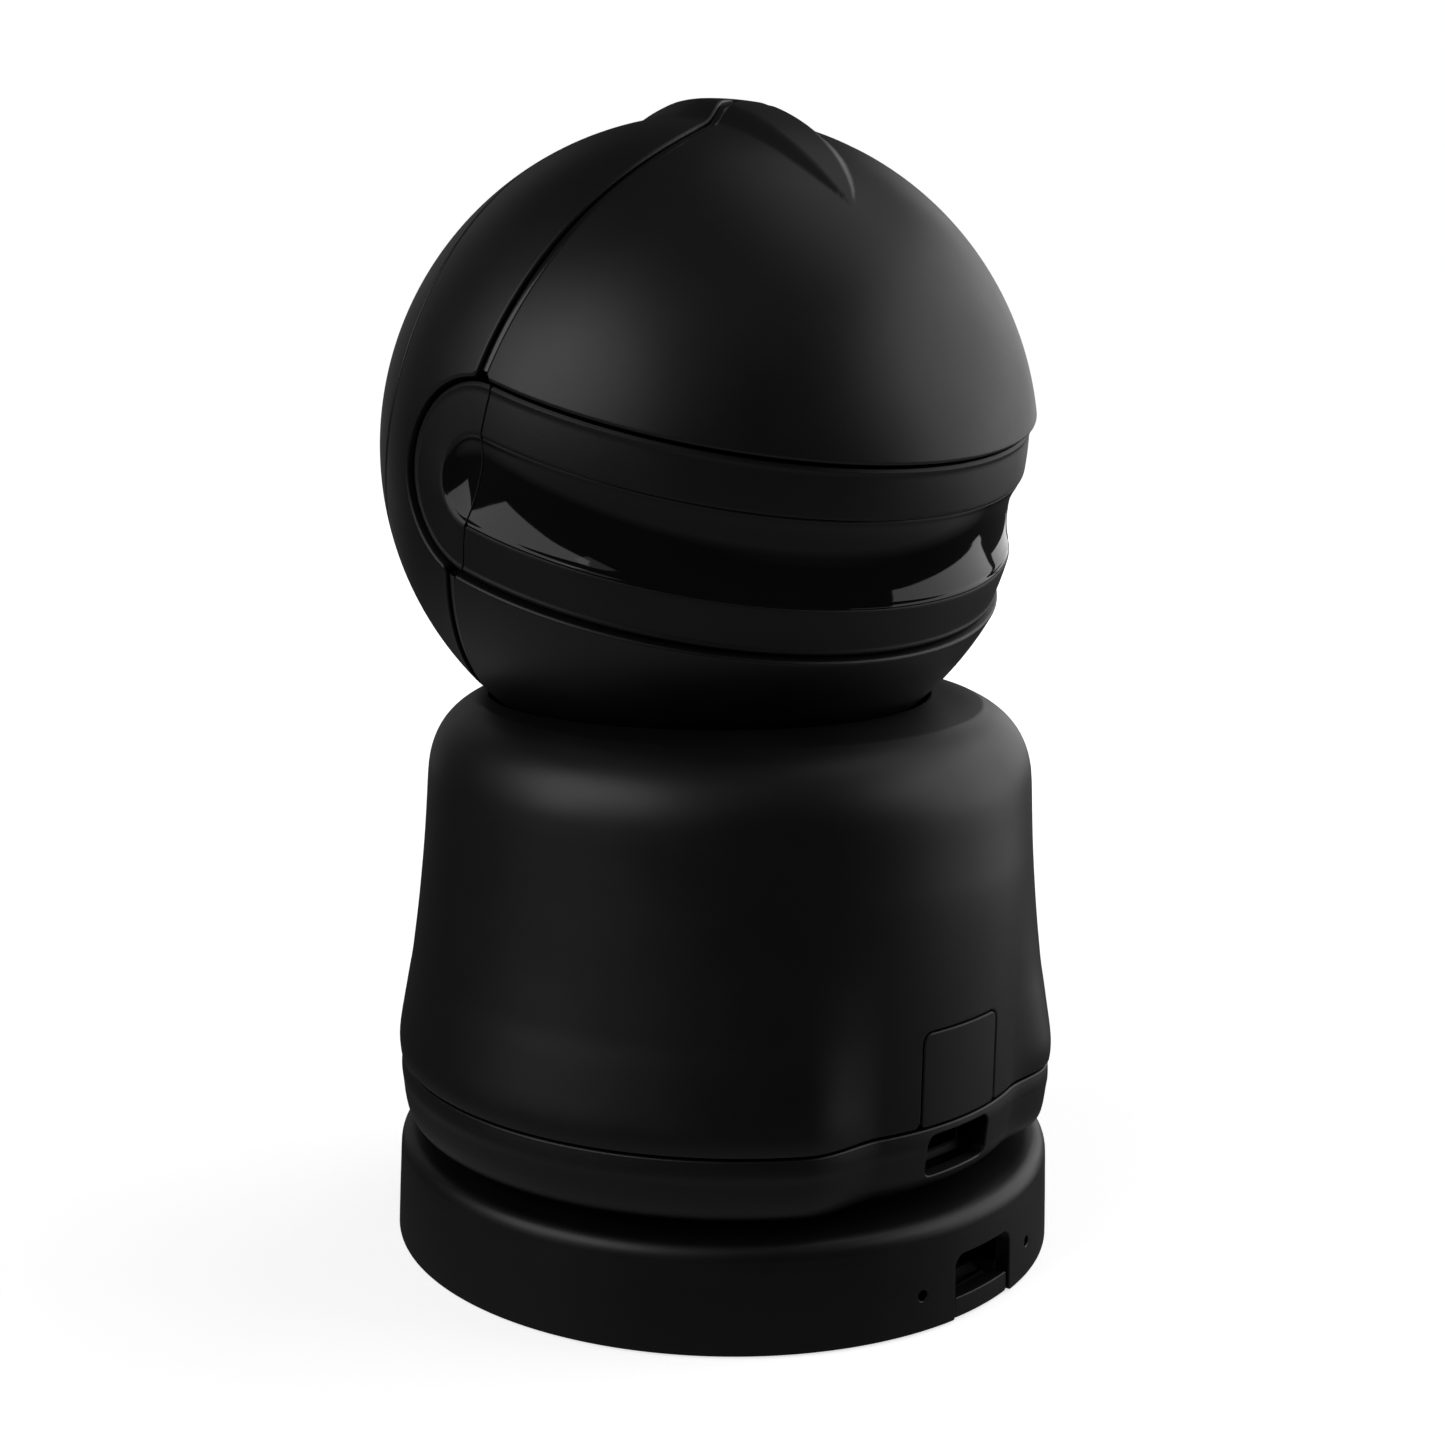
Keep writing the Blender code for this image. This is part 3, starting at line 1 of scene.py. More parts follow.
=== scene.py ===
from math import cos, pi, radians, sin

import bmesh
import bpy
import numpy as np
from mathutils import Matrix, Vector


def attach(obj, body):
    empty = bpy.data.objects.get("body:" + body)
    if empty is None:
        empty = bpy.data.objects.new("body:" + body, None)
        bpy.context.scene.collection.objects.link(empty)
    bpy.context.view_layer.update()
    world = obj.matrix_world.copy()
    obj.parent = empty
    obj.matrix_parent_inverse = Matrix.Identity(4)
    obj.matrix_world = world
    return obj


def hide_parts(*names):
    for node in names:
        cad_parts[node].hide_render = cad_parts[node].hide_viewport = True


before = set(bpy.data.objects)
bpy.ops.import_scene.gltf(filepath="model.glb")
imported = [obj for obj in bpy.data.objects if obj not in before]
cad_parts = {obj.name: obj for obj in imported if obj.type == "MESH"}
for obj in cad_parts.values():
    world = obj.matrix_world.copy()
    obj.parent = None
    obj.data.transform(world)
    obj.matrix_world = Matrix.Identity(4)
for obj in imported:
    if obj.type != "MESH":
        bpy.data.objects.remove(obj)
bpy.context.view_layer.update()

# Shapes are in millimetres, and make_mesh turns them to metres. The floor, lights and camera are in metres.
MM = 0.001
R = 47.25  # radius of the ball
BALL_CENTRE = np.array([0.0, 5.2, 115.6])
PAN_REST, TILT_REST = radians(-11.85), radians(16)
BASE_TWIST = radians(2.1)
HEAD = np.array(Matrix.Rotation(PAN_REST, 3, "Z") @ Matrix.Rotation(TILT_REST, 3, "X"))
TWIST = np.array(Matrix.Rotation(BASE_TWIST, 3, "Z"))
SIDE = radians(77.5)  # where the visor's round ends are centred, round from the front
VISOR_MIDDLE = 0.95  # above the middle of the ball
VISOR_CUT, VISOR_HALF, WINDOW_HALF = 13.7, 13.3, 6.3  # half heights of the opening, the visor and the window
MOST_DISTANCE = 12  # distances are held to this on both sides
OUTSIDE, FAR_OUTSIDE = -5.0, -20.0  # distances given to a side that a field leaves out


# ---------------------------------------------------------------- small maths


def smoothstep(low, high, value):
    t = np.clip((value - low) / (high - low), 0, 1)
    return t * t * (3 - 2 * t)


def round_min(a, b, radius):
    """The lesser of two distances, with the corner rounded."""
    corner = np.hypot(np.maximum(radius - a, 0), np.maximum(radius - b, 0))
    return np.maximum(radius, np.minimum(a, b)) - corner


def spline(points, count=600, blur=14):
    """A smooth line through (x, y) points, as two arrays, by cubic steps and a light blur."""
    p = np.array(points, float)
    run = np.concatenate([[0], np.cumsum(np.hypot(*np.diff(p, axis=0).T))])
    slopes = np.gradient(p, run, axis=0)
    t = np.linspace(0, run[-1], count)
    i = np.clip(np.searchsorted(run, t, side="right") - 1, 0, len(run) - 2)
    h = (run[i + 1] - run[i])[:, None]
    s = ((t - run[i])[:, None]) / h
    out = (
        (2 * s**3 - 3 * s**2 + 1) * p[i]
        + (s**3 - 2 * s**2 + s) * h * slopes[i]
        + (3 * s**2 - 2 * s**3) * p[i + 1]
        + (s**3 - s**2) * h * slopes[i + 1]
    )
    if blur:
        kernel = np.hanning(2 * blur + 1)
        kernel /= kernel.sum()
        ends = np.vstack([2 * out[0] - out[blur:0:-1], out, 2 * out[-1] - out[-2 : -blur - 2 : -1]])
        out = np.column_stack([np.convolve(ends[:, k], kernel, "valid") for k in (0, 1)])
    return t, out


# ---------------------------------------------------------------- parameter grids


class Sphere:
    """Parameters are directions. The grid is a cube's, with lines of any spacing on each axis."""

    def __init__(self, lines):
        faces, points, start = [], [], 0
        for axis in range(3):
            first, second = lines[(axis + 1) % 3], lines[(axis + 2) % 3]
            a, b = np.meshgrid(first, second, indexing="ij")
            quads = grid_quads(len(first), len(second))
            for side in (1, -1):
                p = np.zeros((*a.shape, 3))
                p[..., axis] = side
                p[..., (axis + 1) % 3] = a
                p[..., (axis + 2) % 3] = b
                points.append(p.reshape(-1, 3))
                faces.append((quads if side > 0 else quads[:, ::-1]) + start)
                start += a.size
        self.points, self.triangles = weld(self.tidy(np.vstack(points)), triangles_of(np.vstack(faces)))

    def tidy(self, p):
        return p / np.linalg.norm(p, axis=1)[:, None]

    def steps(self, p, size):
        ref = np.where(np.abs(p[:, 2:3]) < 0.9, [[0.0, 0.0, 1.0]], [[1.0, 0.0, 0.0]])
        a = np.cross(ref, p)
        a /= np.linalg.norm(a, axis=1)[:, None]
        return a * size / R, np.cross(p, a) * size / R


class Tube:
    """Parameters are (cos, sin, v): an angle from +X and a length along the profile."""

    def __init__(self, columns, rows, radius):
        angles = np.asarray(columns)
        grid = np.array([[(cos(a), sin(a), v) for v in rows] for a in angles])
        self.radius = radius
        self.points = grid.reshape(-1, 3)
        self.triangles = triangles_of(grid_quads(len(angles), len(rows), wrap=True))

    def tidy(self, p):
        p = p.copy()
        p[:, :2] /= np.linalg.norm(p[:, :2], axis=1)[:, None]
        return p

    def steps(self, p, size):
        a = np.column_stack([-p[:, 1], p[:, 0], np.zeros(len(p))]) * size / self.radius
        b = np.zeros_like(p)
        b[:, 2] = size
        return a, b


def grid_quads(columns, rows, wrap=False):
    i, j = np.meshgrid(np.arange(columns if wrap else columns - 1), np.arange(rows - 1), indexing="ij")
    i, j = i.ravel(), j.ravel()
    k = (i + 1) % columns
    return np.column_stack([i * rows + j, k * rows + j, k * rows + j + 1, i * rows + j + 1])


def weld(points, triangles):
    """Points in the same place made one, and the triangles that collapse dropped."""
    _, first, index = np.unique(np.round(points, 6), axis=0, return_index=True, return_inverse=True)
    triangles = index.reshape(-1)[triangles]
    whole = (triangles[:, 0] != triangles[:, 1]) & (triangles[:, 1] != triangles[:, 2])
    whole &= triangles[:, 2] != triangles[:, 0]
    return points[first], triangles[whole]


def triangles_of(quads):
    return np.vstack([quads[:, [0, 1, 2]], quads[:, [0, 2, 3]]])


# ---------------------------------------------------------------- the shell builder


SLOPE_STEP, NORMAL_STEP = 0.05, 0.02  # what slopes and normals are measured over
LONGEST_MOVE, MOVES = 2, 2
SNAP = 0.3  # a line that crosses a grid edge this near its end takes the end's point


def tangents(domain, surface, p, size):
    """Two small steps in p, and how far each moves the point on the surface."""
    a, b = domain.steps(p, size)
    here = surface(p)
    return a, b, surface(domain.tidy(p + a)) - here, surface(domain.tidy(p + b)) - here


def normals(domain, surface, p):
    _, _, x, y = tangents(domain, surface, p, NORMAL_STEP)
    n = np.cross(x, y)
    return n / np.maximum(np.linalg.norm(n, axis=1), 1e-12)[:, None]


def gradient(domain, surface, field, p):
    """Values of field, its squared slope on the surface, and the uphill step in p and in space."""
    a, b, x, y = tangents(domain, surface, p, SLOPE_STEP)
    value = field(p)
    da, db = field(domain.tidy(p + a)) - value, field(domain.tidy(p + b)) - value
    xx, xy, yy = (x * x).sum(1), (x * y).sum(1), (y * y).sum(1)
    det = np.maximum(xx * yy - xy * xy, 1e-18)
    ca, cb = (yy * da - xy * db) / det, (xx * db - xy * da) / det
    slope = np.maximum(ca * da + cb * db, 1e-12)
    return value, slope, ca[:, None] * a + cb[:, None] * b, ca[:, None] * x + cb[:, None] * y


def distance(domain, surface, field):
    """Turns any smooth field that is zero on a line into a distance from it in millimetres."""

    def measured(p):
        value, slope, _, _ = gradient(domain, surface, field, p)
        return value / np.sqrt(slope)

    return measured


def move_to(domain, surface, field, p, target):
    """The points moved up or down the field to where it is target."""
    for _ in range(MOVES):
        value, slope, step, _ = gradient(domain, surface, field, p)
        most = LONGEST_MOVE / np.sqrt(slope)
        share = np.clip((target - value) / slope, -most, most)
        p = domain.tidy(p + step * share[:, None])
    return p


def clip(domain, surface, field, level):
    """The part of the grid where field is over level, cut cleanly along that line."""
    p, tri = domain.points.copy(), domain.triangles
    value = field(p) - level
    near = np.zeros(len(p), bool)
    edges = np.unique(np.sort(np.vstack([tri[:, [0, 1]], tri[:, [1, 2]], tri[:, [2, 0]]]), axis=1), axis=0)
    u, w = value[edges[:, 0]], value[edges[:, 1]]
    crossed = u * w < 0
    t = u[crossed] / (u[crossed] - w[crossed])
    near[edges[crossed][t < SNAP, 0]] = True
    near[edges[crossed][t > 1 - SNAP, 1]] = True
    p[near] = move_to(domain, surface, field, p[near], level)
    value[near] = 0
    whole = (value[tri] >= 0).all(1) & (value[tri] > 0).any(1)
    flat = (value[tri] == 0).all(1)
    if flat.any():
        middle = domain.tidy(p[tri[flat]].mean(1))
        whole[np.flatnonzero(flat)[field(middle) > level]] = True
    part = (value[tri] > 0).any(1) & (value[tri] < 0).any(1)
    cutters = tri[part]
    u, w = value[edges[:, 0]], value[edges[:, 1]]
    crossed = np.flatnonzero(u * w < 0)
    t = u[crossed] / (u[crossed] - w[crossed])
    ends = edges[crossed]
    fresh = domain.tidy(p[ends[:, 0]] + t[:, None] * (p[ends[:, 1]] - p[ends[:, 0]]))
    fresh = move_to(domain, surface, field, fresh, level)
    made = {(a, b): len(p) + n for n, (a, b) in enumerate(map(tuple, ends))}
    p = np.vstack([p, fresh])
    faces = [list(t) for t in tri[whole]]
    for corners in cutters:
        loop = []
        for n in range(3):
            a, b = int(corners[n]), int(corners[(n + 1) % 3])
            if value[a] >= 0:
                loop.append(a)
            if value[a] * value[b] < 0:
                loop.append(made[(min(a, b), max(a, b))])
        if len(loop) >= 3:
            faces.append(loop)
    used = np.unique(np.concatenate([np.array(f) for f in faces]))
    index = {int(v): n for n, v in enumerate(used)}
    return p[used], [[index[int(v)] for v in f] for f in faces]


def open_edges(faces):
    """The edges that only one face has."""
    seen = {}
    for face in faces:
        for n in range(len(face)):
            seen[(face[n], face[(n + 1) % len(face)])] = True
    return [(a, b) for a, b in seen if (b, a) not in seen]


def shell(name, domain, surface, field, edge=0.4, wall=2.0, inward=None, bend=5, turn=None, shift=None,
          materials=(), share=None):
    """A closed wall: the part of a surface where field is over 0, with edges rounded in bend steps.

    The field is a distance in millimetres. share gives each outer face the number of its material.
    """
    p, faces = clip(domain, surface, field, edge)
    n0 = normals(domain, surface, p)
    into = -n0 if inward is None else inward(p)
    outer = surface(p)
    count = len(p)
    points, corner_faces, corner_normals = [outer], [], []
    for f in faces:
        corner_faces.append(f)
        corner_normals.append(n0[f])
    rim = open_edges(faces)
    ids = np.unique(np.array(rim))
    where = {int(v): n for n, v in enumerate(ids)}
    q = p[ids]
    rows = [(ids, n0[ids])]
    total = count
    for step in range(1, bend + 1):
        angle = pi / 2 * step / bend
        q = move_to(domain, surface, field, q, edge * (1 - sin(angle)))
        _, slope, _, up = gradient(domain, surface, field, q)
        away = -up / np.linalg.norm(up, axis=1)[:, None]
        top = normals(domain, surface, q)
        down = -top if inward is None else inward(q)
        place = surface(q) + down * edge * (1 - cos(angle))
        points.append(place)
        rows.append((np.arange(total, total + len(ids)), cos(angle) * top + sin(angle) * away))
        total += len(ids)
    points.append(surface(q) + down * wall)
    rows.append((np.arange(total, total + len(ids)), away))
    total += len(ids)
    for (ia, na), (ib, nb) in zip(rows, rows[1:]):
        for a, b in rim:
            a, b = where[a], where[b]
            corner_faces.append([ia[b], ia[a], ib[a], ib[b]])
            corner_normals.append(np.array([na[b], na[a], nb[a], nb[b]]))
    points.append(outer + into * wall)
    back = total
    for f in faces:
        corner_faces.append([back + v for v in reversed(f)])
        corner_normals.append(-n0[list(reversed(f))])
    low = rows[-1][0]
    for a, b in rim:
        corner_faces.append([low[where[b]], low[where[a]], back + a, back + b])
        corner_normals.append(-n0[[b, a, a, b]])
    places = np.vstack(points)
    slots = None
    if share is not None:
        middle = np.array([p[f].mean(0) for f in faces])
        slots = np.zeros(len(corner_faces), int)
        slots[: len(faces)] = share(domain.tidy(middle))
    return make_mesh(name, places, corner_faces, corner_normals, turn, shift, materials, slots)


def make_mesh(name, places, faces, face_normals=None, turn=None, shift=None, materials=(), slots=None):
    if turn is not None:
        places = places @ turn.T
        if face_normals is not None:
            face_normals = [n @ turn.T for n in face_normals]
    if shift is not None:
        places = places + shift
    mesh = bpy.data.meshes.new(name)
    mesh.from_pydata((places * MM).tolist(), [], [[int(v) for v in f] for f in faces])
    for material in materials:
        mesh.materials.append(material)
    if slots is not None:
        mesh.polygons.foreach_set("material_index", np.asarray(slots, np.int32))
    mesh.polygons.foreach_set("use_smooth", np.ones(len(mesh.polygons), bool))
    mesh.update()
    if face_normals is not None:
        stacked = np.vstack(face_normals)
        stacked /= np.maximum(np.linalg.norm(stacked, axis=1), 1e-12)[:, None]
        mesh.normals_split_custom_set(stacked.tolist())
    obj = bpy.data.objects.new(name, mesh)
    bpy.context.scene.collection.objects.link(obj)
    return obj


def piece(obj, body, node):
    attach(obj, body)
    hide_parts(*([node] if isinstance(node, str) else node))
    return obj


# ---------------------------------------------------------------- materials


def map_range(tree, source, span, to):
    """The span of source mapped to the span called to, and held at its ends."""
    ramp = tree.nodes.new("ShaderNodeMapRange")
    ramp.inputs["From Min"].default_value = span[0]
    ramp.inputs["From Max"].default_value = span[1]
    ramp.inputs["To Min"].default_value = to[0]
    ramp.inputs["To Max"].default_value = to[1]
    tree.links.new(source, ramp.inputs["Value"])
    return ramp.outputs["Result"]


NOISE_SPAN = (0.3, 0.7)  # most values of a noise texture lie in here
SPOT_SPAN = (0.62, 0.8)  # only its peaks lie in here
GLOSS_CHANGE = 0.06
SLOW_SIZE, SPOT_SIZE = 14, 2.2


def material(name, colour, roughness, grain=0.0, grain_size=0.25, mottle=0.0, specular=0.5, coat=0.0,
             metallic=0.0, wear=0.0, ior=1.5, coat_roughness=0.05):
    """A finish with a fine raised grain, a slow change of colour and gloss, and faint worn spots."""
    made = bpy.data.materials.new(name)
    made.use_nodes = True
    made.diffuse_color = (*colour, 1)
    tree = made.node_tree
    nodes, links = tree.nodes, tree.links
    surface = nodes["Principled BSDF"]
    surface.inputs["Metallic"].default_value = metallic
    surface.inputs["IOR"].default_value = ior
    surface.inputs["Specular IOR Level"].default_value = specular
    surface.inputs["Coat Weight"].default_value = coat
    surface.inputs["Coat Roughness"].default_value = coat_roughness
    place = nodes.new("ShaderNodeTexCoord").outputs["Object"]

    def noise(size, detail, rough=0.55):
        texture = nodes.new("ShaderNodeTexNoise")
        texture.inputs["Scale"].default_value = 1 / (size * MM)
        texture.inputs["Detail"].default_value = detail
        texture.inputs["Roughness"].default_value = rough
        links.new(place, texture.inputs["Vector"])
        return texture.outputs["Fac"]

    slow = noise(SLOW_SIZE, 3)
    mix = nodes.new("ShaderNodeMix")
    mix.data_type = "RGBA"
    mix.inputs["A"].default_value = (*[c * (1 - mottle) for c in colour], 1)
    mix.inputs["B"].default_value = (*[min(1, c * (1 + mottle)) for c in colour], 1)
    links.new(map_range(tree, slow, NOISE_SPAN, (0, 1)), mix.inputs["Factor"])
    links.new(mix.outputs["Result"], surface.inputs["Base Color"])
    change = (roughness * (1 - GLOSS_CHANGE), roughness * (1 + GLOSS_CHANGE))
    gloss = map_range(tree, slow, NOISE_SPAN, change)
    if wear:
        spots = map_range(tree, noise(SPOT_SIZE, 5, 0.7), SPOT_SPAN, (0, wear))
        add = nodes.new("ShaderNodeMath")
        add.operation = "ADD"
        links.new(gloss, add.inputs[0])
        links.new(spots, add.inputs[1])
        gloss = add.outputs["Value"]
    links.new(gloss, surface.inputs["Roughness"])
    if grain:
        bump = nodes.new("ShaderNodeBump")
        bump.inputs["Strength"].default_value = 1.0
        bump.inputs["Distance"].default_value = grain * MM
        links.new(noise(grain_size, 4, 0.6), bump.inputs["Height"])
        links.new(bump.outputs["Normal"], surface.inputs["Normal"])
    return made


BLACK = (0.0032, 0.0032, 0.0034)
SHELL = material("satin_black_plastic", BLACK, 0.43, grain=0.010, grain_size=0.30, mottle=0.12, wear=0.05,
                 specular=0.5)
VISOR = material("matte_black_visor", (0.0048, 0.0049, 0.0051), 0.50, grain=0.012, grain_size=0.32,
                 mottle=0.12, wear=0.04, specular=0.40)
WINDOW = material("gloss_black_window", (0.0050, 0.0050, 0.0056), 0.05, grain=0.0006, grain_size=3.0,
                  mottle=0.1, wear=0.03, specular=0.30)
STRIP = material("gloss_black_strip", (0.0060, 0.0060, 0.0066), 0.22, grain=0.001, grain_size=1.0,
                 mottle=0.1, specular=0.5)
DOOR = material("satin_black_door", (0.0044, 0.0045, 0.0047), 0.46, grain=0.011, grain_size=0.30,
                mottle=0.12, specular=0.48)
INNER = material("inner_black_plastic", (0.005, 0.005, 0.0055), 0.62, grain=0.02, grain_size=0.5,
                 mottle=0.15, specular=0.3)
RUBBER = material("black_rubber", (0.014, 0.0138, 0.0135), 0.82, grain=0.03, grain_size=0.6, mottle=0.2,
                  specular=0.25, wear=0.08)
STEEL = material("brushed_steel", (0.42, 0.42, 0.43), 0.33, grain=0.004, grain_size=0.2, mottle=0.1,
                 metallic=1.0, wear=0.15)
# Steel for the power jack and card reader, painted near black as painted shade for the dark recess they sit
# in.
JACK = material("shade_darkened_steel", (0.012, 0.012, 0.013), 0.45, grain=0.003, grain_size=0.2, mottle=0.1,
                metallic=1.0, wear=0.1)
NYLON = material("white_nylon", (0.66, 0.64, 0.58), 0.45, grain=0.01, grain_size=0.4, mottle=0.05)
BOARD = material("black_circuit_board", (0.006, 0.007, 0.007), 0.38, grain=0.02, grain_size=0.8, mottle=0.2)
GREY = material("grey_button", (0.11, 0.11, 0.115), 0.5, grain=0.01, grain_size=0.3, mottle=0.08)
GLASS = material("coated_lens_glass", (0.012, 0.016, 0.045), 0.03, mottle=0.1, coat=1.0, ior=1.6)
LED = material("clear_lamp_resin", (0.30, 0.28, 0.32), 0.08, mottle=0.05, coat=0.8)
# Nodes whose names start with these words keep their CAD mesh and get this finish. The rest get INNER.
NODE_FINISHES = {
    STEEL: ["pan_motor", "tilt_motor", "tilt_shaft", "pan_circlip", "base_screw_", "pedestal_screw_"],
    NYLON: ["pan_bearing", "pan_gear", "pan_pinion", "tilt_gear", "tilt_pinion"],
    BOARD: ["main_board", "service_board", "sensor_board", "led_board"],
    JACK: ["power_jack", "card_reader"],
    GREY: ["reset_button"],
    GLASS: ["lens_glass"],
    LED: ["ir_led_"],
    RUBBER: ["foot_pad"],
}
for node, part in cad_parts.items():
    part.data.materials.clear()
    part.data.materials.append(INNER)
for finish, starts in NODE_FINISHES.items():
    for node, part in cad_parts.items():
        if any(node.startswith(start) for start in starts):
            part.data.materials[0] = finish


# ---------------------------------------------------------------- ball head

CREST_LINE = np.array([
    # y and half width of the ridge in ball radii, and its height in millimetres
    (-0.45, 0.010, 0.00), (-0.41, 0.042, 0.32), (-0.35, 0.072, 0.62), (-0.26, 0.104, 0.98),
    (-0.14, 0.132, 1.36), (0.02, 0.158, 1.72), (0.12, 0.178, 1.98), (0.22, 0.188, 2.12),
    (0.34, 0.185, 2.00), (0.46, 0.165, 1.55), (0.58, 0.125, 0.85), (0.68, 0.075, 0.28), (0.76, 0.03, 0.00),
])
CREST_Y = np.linspace(-0.45, 0.76, 400)
CREST_BLUR = 11
CREST_FLANK = (0.38, 1.02)  # where its side starts and ends to fall, in half widths


def smooth_column(column):
    """A column of CREST_LINE at each CREST_Y, with its corners blurred."""
    table = np.interp(CREST_Y, CREST_LINE[:, 0], CREST_LINE[:, column])
    wide = np.concatenate([np.full(CREST_BLUR, table[0]), table, np.full(CREST_BLUR, table[-1])])
    kernel = np.hanning(2 * CREST_BLUR + 1)
    return np.convolve(wide, kernel / kernel.sum(), "valid")


CREST_WIDTH, CREST_HEIGHT = smooth_column(1), smooth_column(2)


def crest(p):
    """Height of the leaf-shaped ridge on top of the ball."""
    x, y = np.abs(p[:, 0]), p[:, 1]
    width = np.interp(y, CREST_Y, CREST_WIDTH)
    height = np.interp(y, CREST_Y, CREST_HEIGHT, left=0, right=0)
    shape = 1 - smoothstep(*CREST_FLANK, x / width)
    return np.where(p[:, 2] > 0, height * shape, 0)


def ball_surface(p):
    return p * (R + crest(p))[:, None]


# The seams, in ball radii. A seam's upper and lower lines blend into each other behind the visor's end.
BLEND_HEIGHT = 0.12
SEAM_LEAN, PEAK_RISE, PEAK_WIDTH, PEAK_POWER = -0.183, 0.17, 0.20, 1.3
LOW_SEAM_X, LOW_SEAM_Y, LOW_SEAM_LEAN, LOW_SEAM_MOST = 0.937, -0.16, 0.65, 0.15
REAR_Y, REAR_BOW = 0.50, 0.27
LOW_REAR_X, LOW_REAR_Y, LOW_REAR_LEAN, LOW_REAR_MOST = 0.968, 0.247, 0.8, 0.55


def blended(p, upper, lower):
    t = smoothstep(-BLEND_HEIGHT, BLEND_HEIGHT, p[:, 2])
    return t * upper + (1 - t) * lower


def seam_y(p):
    """Y of the stepped seam at this X. Above the visor it runs to a peak at the middle."""
    side = np.abs(p[:, 0])
    upper = SEAM_LEAN * side + PEAK_RISE * np.exp(-((side / PEAK_WIDTH) ** PEAK_POWER))
    lower = np.minimum(LOW_SEAM_MOST, LOW_SEAM_Y + LOW_SEAM_LEAN * (LOW_SEAM_X - side))
    return blended(p, upper, lower)


def rear_y(p):
    """Y of the thin rear seam at this X."""
    side = np.abs(p[:, 0])
    upper = REAR_Y - REAR_BOW * side**2
    lower = np.minimum(LOW_REAR_MOST, LOW_REAR_Y + LOW_REAR_LEAN * np.maximum(0, LOW_REAR_X - side))
    return blended(p, upper, lower)


def azimuth(p):
    """Angle from the front of the ball to either side."""
    return np.arctan2(np.abs(p[:, 0]), -p[:, 1])


def stadium(p, half):
    """Distance out of the visor's stadium outline, in millimetres."""
    along = np.maximum(azimuth(p) - SIDE, 0) * R
    return np.hypot(along, p[:, 2] * R - VISOR_MIDDLE) - half


def cube_line(*bands):
    """Tangents of angles that run from -45 degrees in bands of (last angle, number of steps)."""
    out, low = [np.array([-45.0])], -45.0
    for end, steps in bands:
        out.append(np.linspace(low, end, steps + 1)[1:])
        low = end
    return np.tan(np.radians(np.concatenate(out)))


BALL = Sphere([
    cube_line((-13, 28), (13, 56), (45, 28)),
    cube_line((-24, 18), (36, 84), (45, 8)),
    cube_line((45, 76)),
])
SLOT_HALF, SLOT_FRONT, SLOT_BACK, SLOT_CORNER = 7.0, -21.0, 28.1, 3.0
GROOVE_HALF, REAR_SEAM_HALF = 0.85, 0.22
SEAM_CORNER, BAND_CORNER, SLOT_EDGE = 0.7, 0.6, 1.0  # how round the corners between two lines are


def slot_field(p):
    """Distance into the slot under the ball that the neck passes through."""
    x, y = np.abs(p[:, 0]) * R, p[:, 1] * R
    along = round_min(y - SLOT_FRONT, SLOT_BACK - y, SLOT_CORNER)
    inside = round_min(SLOT_HALF - x, along, SLOT_CORNER)
    return np.where(p[:, 2] < 0, inside, FAR_OUTSIDE)


def ball_piece(name, field, node, edge=0.45):
    obj = shell(name, BALL, ball_surface, field, edge=edge, wall=2.2, turn=HEAD, shift=BALL_CENTRE,
                materials=[SHELL])
    return piece(obj, "head", node)


front_side = distance(BALL, ball_surface, lambda p: (seam_y(p) - p[:, 1]) * R)
rear_side = distance(BALL, ball_surface, lambda p: (p[:, 1] - rear_y(p)) * R)


def capped(d):
    return np.clip(d, -MOST_DISTANCE, MOST_DISTANCE)


def front_shell(upper):
    def field(p):
        seam = capped(front_side(p)) - GROOVE_HALF
        visor = capped(stadium(p, VISOR_CUT))
        whole = round_min(seam, visor, SEAM_CORNER)
        if not upper:
            whole = round_min(whole, capped(-slot_field(p)), SLOT_EDGE)
        return np.where((p[:, 2] * R > VISOR_MIDDLE) == upper, whole, OUTSIDE)

    return field


def band_field(p):
    seam = capped(-front_side(p)) - GROOVE_HALF
    rear = capped(-rear_side(p)) - REAR_SEAM_HALF
    visor = capped(stadium(p, VISOR_CUT))
    whole = round_min(round_min(seam, rear, BAND_CORNER), visor, SEAM_CORNER)
    return round_min(whole, capped(-slot_field(p)), SLOT_EDGE)


def rear_field(p):
    return round_min(capped(rear_side(p)) - REAR_SEAM_HALF, capped(-slot_field(p)), SLOT_EDGE)


ball_piece("Brow_shell", front_shell(True), "brow_shell")
ball_piece("Chin_shell", front_shell(False), "chin_shell")
ball_piece("Middle_band", band_field, "middle_band")
ball_piece("Rear_shell", rear_field, "rear_shell", edge=0.3)


# Lateral place and height over the ball of the strip's T-shaped section, clockwise seen along the strip
STRIP_SECTION = [
    (-1.9, -3.3), (-1.9, -2.75), (-0.70, -2.65), (-0.66, -0.75), (-0.50, -0.52), (0, -0.40),
    (0.50, -0.52), (0.66, -0.75), (0.70, -2.65), (1.9, -2.75), (1.9, -3.3),
]
STRIP_CLEARANCE = 0.9  # from the strip's end to the visor's opening
LOW_STRIP_X = 0.21  # where the lower strips start, beside the slot, in ball radii
SHARP_ANGLE = radians(35)


def seam_points(x, top):
    """Directions to the stepped seam at these X, above the visor if top is 1 and below it if it is -1."""
    y = seam_y(np.column_stack([x, x * 0, np.full_like(x, top)]))
    z = top * np.sqrt(np.clip(1 - x * x - y * y, 0, 1))
    return np.column_stack([x, y, z])


